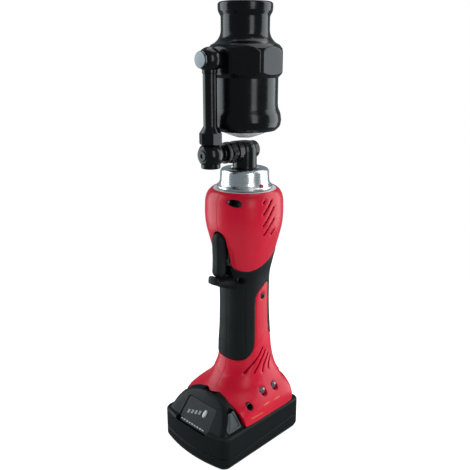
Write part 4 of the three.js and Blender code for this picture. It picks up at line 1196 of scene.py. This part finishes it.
black("elbow_body", elbow, "swivel", "elbow", 40)
top_plug = soften([(0, 259.3), (5.5, 259.3), (5.5, 262.2, 0.9), (0, 262.2)], 0.2)
top_plug = cut(lathe(top_plug, 64), prism(hexagon(2.4), 261, 264, "z"))
black("elbow_top_plug", top_plug, "swivel", "elbow_plug")
rear_plug = soften([(0, 9.7), (4.5, 9.7), (4.5, 12.6, 0.8), (0, 12.6)], 0.2)
rear_plug = lathe(rear_plug, 64, "y", (0, 0, ELBOW_Z))
rear_plug = cut(rear_plug, key_hole(2.0, 11.6, 14, "y", (0, 0, ELBOW_Z)))
black("elbow_back_plug", rear_plug, "swivel", "elbow_rear_plug")


def hex_nut(low, high, across, bore, axis, centre, turn=0.0, chamfer=1.1):
    """A hexagon whose corners are turned down at both ends, on a bored centre."""
    shift = centre[2] if axis == "y" else centre[1]
    outline = [(a + centre[0], b + shift) for a, b in hexagon(across, turn)]
    blank = prism(outline, low, high, axis, 0.22)
    cone = [
        (0, low), (across - chamfer * 1.7, low), (across + 0.4, low + chamfer),
        (across + 0.4, high - chamfer), (across - chamfer * 1.7, high), (0, high)
    ]
    made = common(blank, lathe(cone, 96, axis, centre))
    if bore:
        made = cut(made, cylinder(low - 1, high + 1, bore, 64, axis, centre))
    return made


nut = hex_nut(-20.4, -14.4, 9.2, 6.2, "y", (0, 0, ELBOW_Z))
black("arm_hex_nut", nut, "swivel", "arm_nut")


def ribs(turn):
    """Shallow ribs all round."""
    return 1 - 0.035 * (0.5 + 0.5 * np.cos(26 * turn)) ** 3


knurl = soften([(6.3, -24.6), (8.2, -24.6, 0.5), (8.2, -21.0, 0.5), (6.3, -21.0)], 0.2, True)
ribbed_ring = lathe(knurl, 312, "y", (0, 0, ELBOW_Z), ribs)
black("arm_ribbed_ring", ribbed_ring, "swivel", "arm_ring")

# ---- link


def ball(radius, facet, z):
    """A ball about a line along Y, with a flat facet at each end."""
    limit = asin(facet / radius)
    profile = [(0, -cos(limit) * radius)]
    for a in np.linspace(limit, pi - limit, 26):
        profile.append((radius * sin(a), -radius * cos(a)))
    profile.append((0, cos(limit) * radius))
    return lathe(profile, 112, "y", (0, LINK_Y, z))


def rod_z(low, high, radius, sides=64, edge_radius=0.0):
    line = soften([(0, low), (radius, low, edge_radius), (radius, high, edge_radius), (0, high)], 0)
    return lathe(line, sides, "z", (0, LINK_Y, 0))


def rod_y(low, high, radius, z, edge_radius=0.0):
    line = soften([(0, low), (radius, low, edge_radius), (radius, high, edge_radius), (0, high)], 0)
    return lathe(line, 64, "y", (0, 0, z))


foot_plug = soften([(0, 244.6), (7.5, 244.6, 0.9), (7.5, 252), (0, 252)], 0)
lower_ball = cut(
    join(ball(10.2, 5.6, LOWER_PIVOT_Z), lathe(foot_plug, 80, "z", (0, LINK_Y, 0))),
    rod_y(-37, 0, 4.3, LOWER_PIVOT_Z - 0.2), rod_y(-60, LINK_Y - 7, 4.4, LOWER_PIVOT_Z),
    box(-FAR, FAR, -FAR, 0, 262.6, 300)
)
lower_ball = cut(lower_ball, key_hole(3.2, 244.0, 246.2, "z", (0, LINK_Y, 0)))
black("link_lower_joint", lower_ball, "link", "link_lower_ball", 40)
lower_plug = cut(
    rod_y(LINK_Y - 9.4, LINK_Y - 7.3, 4.1, LOWER_PIVOT_Z, 0.5),
    key_hole(1.9, LINK_Y - 12, LINK_Y - 8.4, "y", (0, 0, LOWER_PIVOT_Z))
)
black("link_lower_cap", lower_plug, "link", "link_lower_plug")

ROD_TOP = UPPER_PIVOT_Z - 9.2 - 0.5
rod_foot = [(0, 271.5), (8.0, 271.5), (8.0, 272.2, 0.3), (5.3, 276.9, 1.6)]
rod_profile = soften(rod_foot + [(5.3, ROD_TOP, 0.2), (0, ROD_TOP)], 0.0)
link_rod = join(
    hex_nut(262.9, 272.4, 9.1, 0, "z", (0, LINK_Y, 0), pi / 6),
    lathe(rod_profile, 80, "z", (0, LINK_Y, 0))
)
black("link_tube", link_rod, "link", "link_rod")
upper_ball = cut(
    join(
        ball(9.2, 5.2, UPPER_PIVOT_Z), rod_z(ROD_TOP + 0.02, UPPER_PIVOT_Z - 4, 5.8, 64, 0.3),
        rod_y(LINK_Y, -28.8, 6.2, UPPER_PIVOT_Z, 0.3)
    ),
    rod_y(-60, 0, 3.9, UPPER_PIVOT_Z), rod_y(-60, LINK_Y - 7.4, 6.6, UPPER_PIVOT_Z)
)
black("link_upper_joint", upper_ball, "link", "link_upper_ball", 40)
bolt = join(
    rod_y(LINK_Y - 9.9, LINK_Y - 7.7, 6.2, UPPER_PIVOT_Z, 0.9),
    rod_y(LINK_Y - 8, -24, 3.6, UPPER_PIVOT_Z, 0.3)
)
piece("link_pivot_bolt", bolt, "head", PLUG_GREY, ["link_bolt"])

# ---- head

OCTAGON_HALF = 28.5
OCTAGON_CORNER = OCTAGON_HALF / cos(pi / 8)
CORNER_TRIM = 0.55
PRESS_BLEND = 0.5
SWEEP = 11.5
NECK_SWEEP = [
    (30.4 + SWEEP * cos(radians(turn)), 347 + SWEEP * sin(radians(turn)), 0)
    for turn in range(250, 170, -10)
]
head_profile = soften(
    [
        (0, HEAD_BOTTOM), (24.6, HEAD_BOTTOM, 2.0), (28.2, HEAD_BOTTOM + 3.4, 4.0),
        (29.0, HEAD_BOTTOM + 8.2, 5.0), (28.3, 284.4, 6.0), (26.5, 288.6, 4.0), (26.1, 292.0, 3.0),
        (26.1, 311.6, 0.8), (28.0, 313.6, 0.6), (30.6, 316.0, 0.8), (OCTAGON_CORNER, 317.6, 0.5),
        (OCTAGON_CORNER, 329.8, 0.6), (29.2, 333.2, 1.0), *NECK_SWEEP, (18.9, 356.6, 4.0),
        (20.9, 360.2, 1.6), (21.2, 362.6, 1.6), (21.2, 366.9, 3.2), (0, HEAD_TOP)
    ],
    0.5, False, 7
)


def refine(profile, longest):
    """The same line with no step longer than the given length."""
    out = [profile[0]]
    for (a0, b0), (a1, b1) in zip(profile[:-1], profile[1:]):
        count = max(1, ceil(hypot(a1 - a0, b1 - b0) / longest))
        out += [(a0 + (a1 - a0) * k / count, b0 + (b1 - b0) * k / count) for k in range(1, count + 1)]
    return out


def head_skin():
    """The turned body, pressed to eight flats round its middle. Flats face +X, -Y and between."""
    count = 384
    angle = np.arange(count) * 2 * np.pi / count
    off = np.abs((angle + pi / 8) % (pi / 4) - pi / 8)
    flat = np.minimum(OCTAGON_HALF / np.cos(off), OCTAGON_CORNER - CORNER_TRIM)
    rings = []
    line = refine(head_profile, 0.9)
    for radius, height in line[1:-1]:
        pressed = 312.0 < height < 336.0 and radius > 27.5
        gap = flat - radius
        soft = radius + gap / 2 - np.sqrt(gap * gap / 4 + PRESS_BLEND**2 / 16)
        r = np.minimum(soft, radius) if pressed else np.full(count, radius)
        rings.append(np.stack([r * np.cos(angle), r * np.sin(angle), np.full(count, height)], axis=-1))
    return skin(rings)


chamber = lathe([(0, 260), (21.6, 260), (21.6, 271.6), (21, 272.2), (21, 327), (0, 327)], 128)
bore = lathe([(0, 300), (12.3, 300), (12.3, 366.0), (13.6, 368.2), (13.6, 372), (0, 372)], 96)
bolt_hole = rod_y(-40, -23.4, 3.9, UPPER_PIVOT_Z)
head = cut(head_skin(), chamber, bore, bolt_hole)
black("head_body", head, "head", "head_cylinder", 50)

cap_profile = soften(
    [
        (0, 265.6), (7, 265.6, 0.5), (14, 268.0, 1.5), (19.4, 270.4, 0.8), (20.4, 270.9, 0.3),
        (20.6, 271.6, 0.2), (20.6, 275, 0.4), (0, 275)
    ],
    0.3
)
cap = cut(
    lathe(cap_profile, 144),
    *[
        moved(
            lathe([(0, 264), (1.2, 264), (1.2, 269.5), (0, 270)], 32),
            Matrix.Translation((10.5 * s, 0, 0))
        )
        for s in (1, -1)
    ]
)
piece("end_cap_disc", cap, "head", ZINC, ["end_cap"])

ram_profile = soften(
    [
        (9.5, 330, 0.4), (9.5, 360.2, 0.2), (10.3, 361.0, 0.1), (12.0, 361.0, 0.6), (12.0, 322.0, 0.4),
        (20.7, 322.0, 0.6), (20.7, 316.0, 0.3), (18.6, 316.0, 0.2), (18.6, 312.4, 0.2),
        (20.7, 312.4, 0.3), (20.7, 308.0, 0.6), (0.0, 308.0)
    ],
    0.3
)
ram = lathe(([(0, 330)] + ram_profile)[::-1], 128)
piece("ram_piston", ram, "ram", STEEL, ["piston"])

SPRING_LOW = 275.6
SPRING_HIGH = 307.4
SPRING_TURNS = 5
SPRING_RADIUS = 16.0
WIRE = 1.5
spring_rings = []
for t in np.linspace(0, 1, 48 * SPRING_TURNS):
    turn = 2 * pi * SPRING_TURNS * t
    height = SPRING_LOW + WIRE + t * (SPRING_HIGH - SPRING_LOW - 2 * WIRE)
    ring = []
    for a in round_turns(14):
        out = SPRING_RADIUS + WIRE * cos(a)
        ring.append((out * cos(turn), out * sin(turn), height + WIRE * sin(a)))
    spring_rings.append(ring)
spring = piece("return_spring_coil", skin(spring_rings), "head", STEEL, ["return_spring"])
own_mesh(spring)

# ---- inner pieces kept from the frame

KEPT = {
    RUBBER: ["piston_seal", "oil_bladder"],
    STEEL: ["motor_can", "gearbox_housing", "pump_cam", "pump_block", "pump_plunger", "release_valve"],
    COPPER: ["rotor"], BOARD: ["control_board"], CHARCOAL: ["trigger_switch", "terminal_block"],
    CELL: ["cell_1", "cell_2", "cell_3", "cell_4", "cell_5"]
}
for finish, names in KEPT.items():
    for name in names:
        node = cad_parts[name]
        if not node.material_slots:
            node.data.materials.append(finish)
        for place in node.material_slots:
            place.link = "OBJECT"
            place.material = finish

bpy.context.view_layer.update()
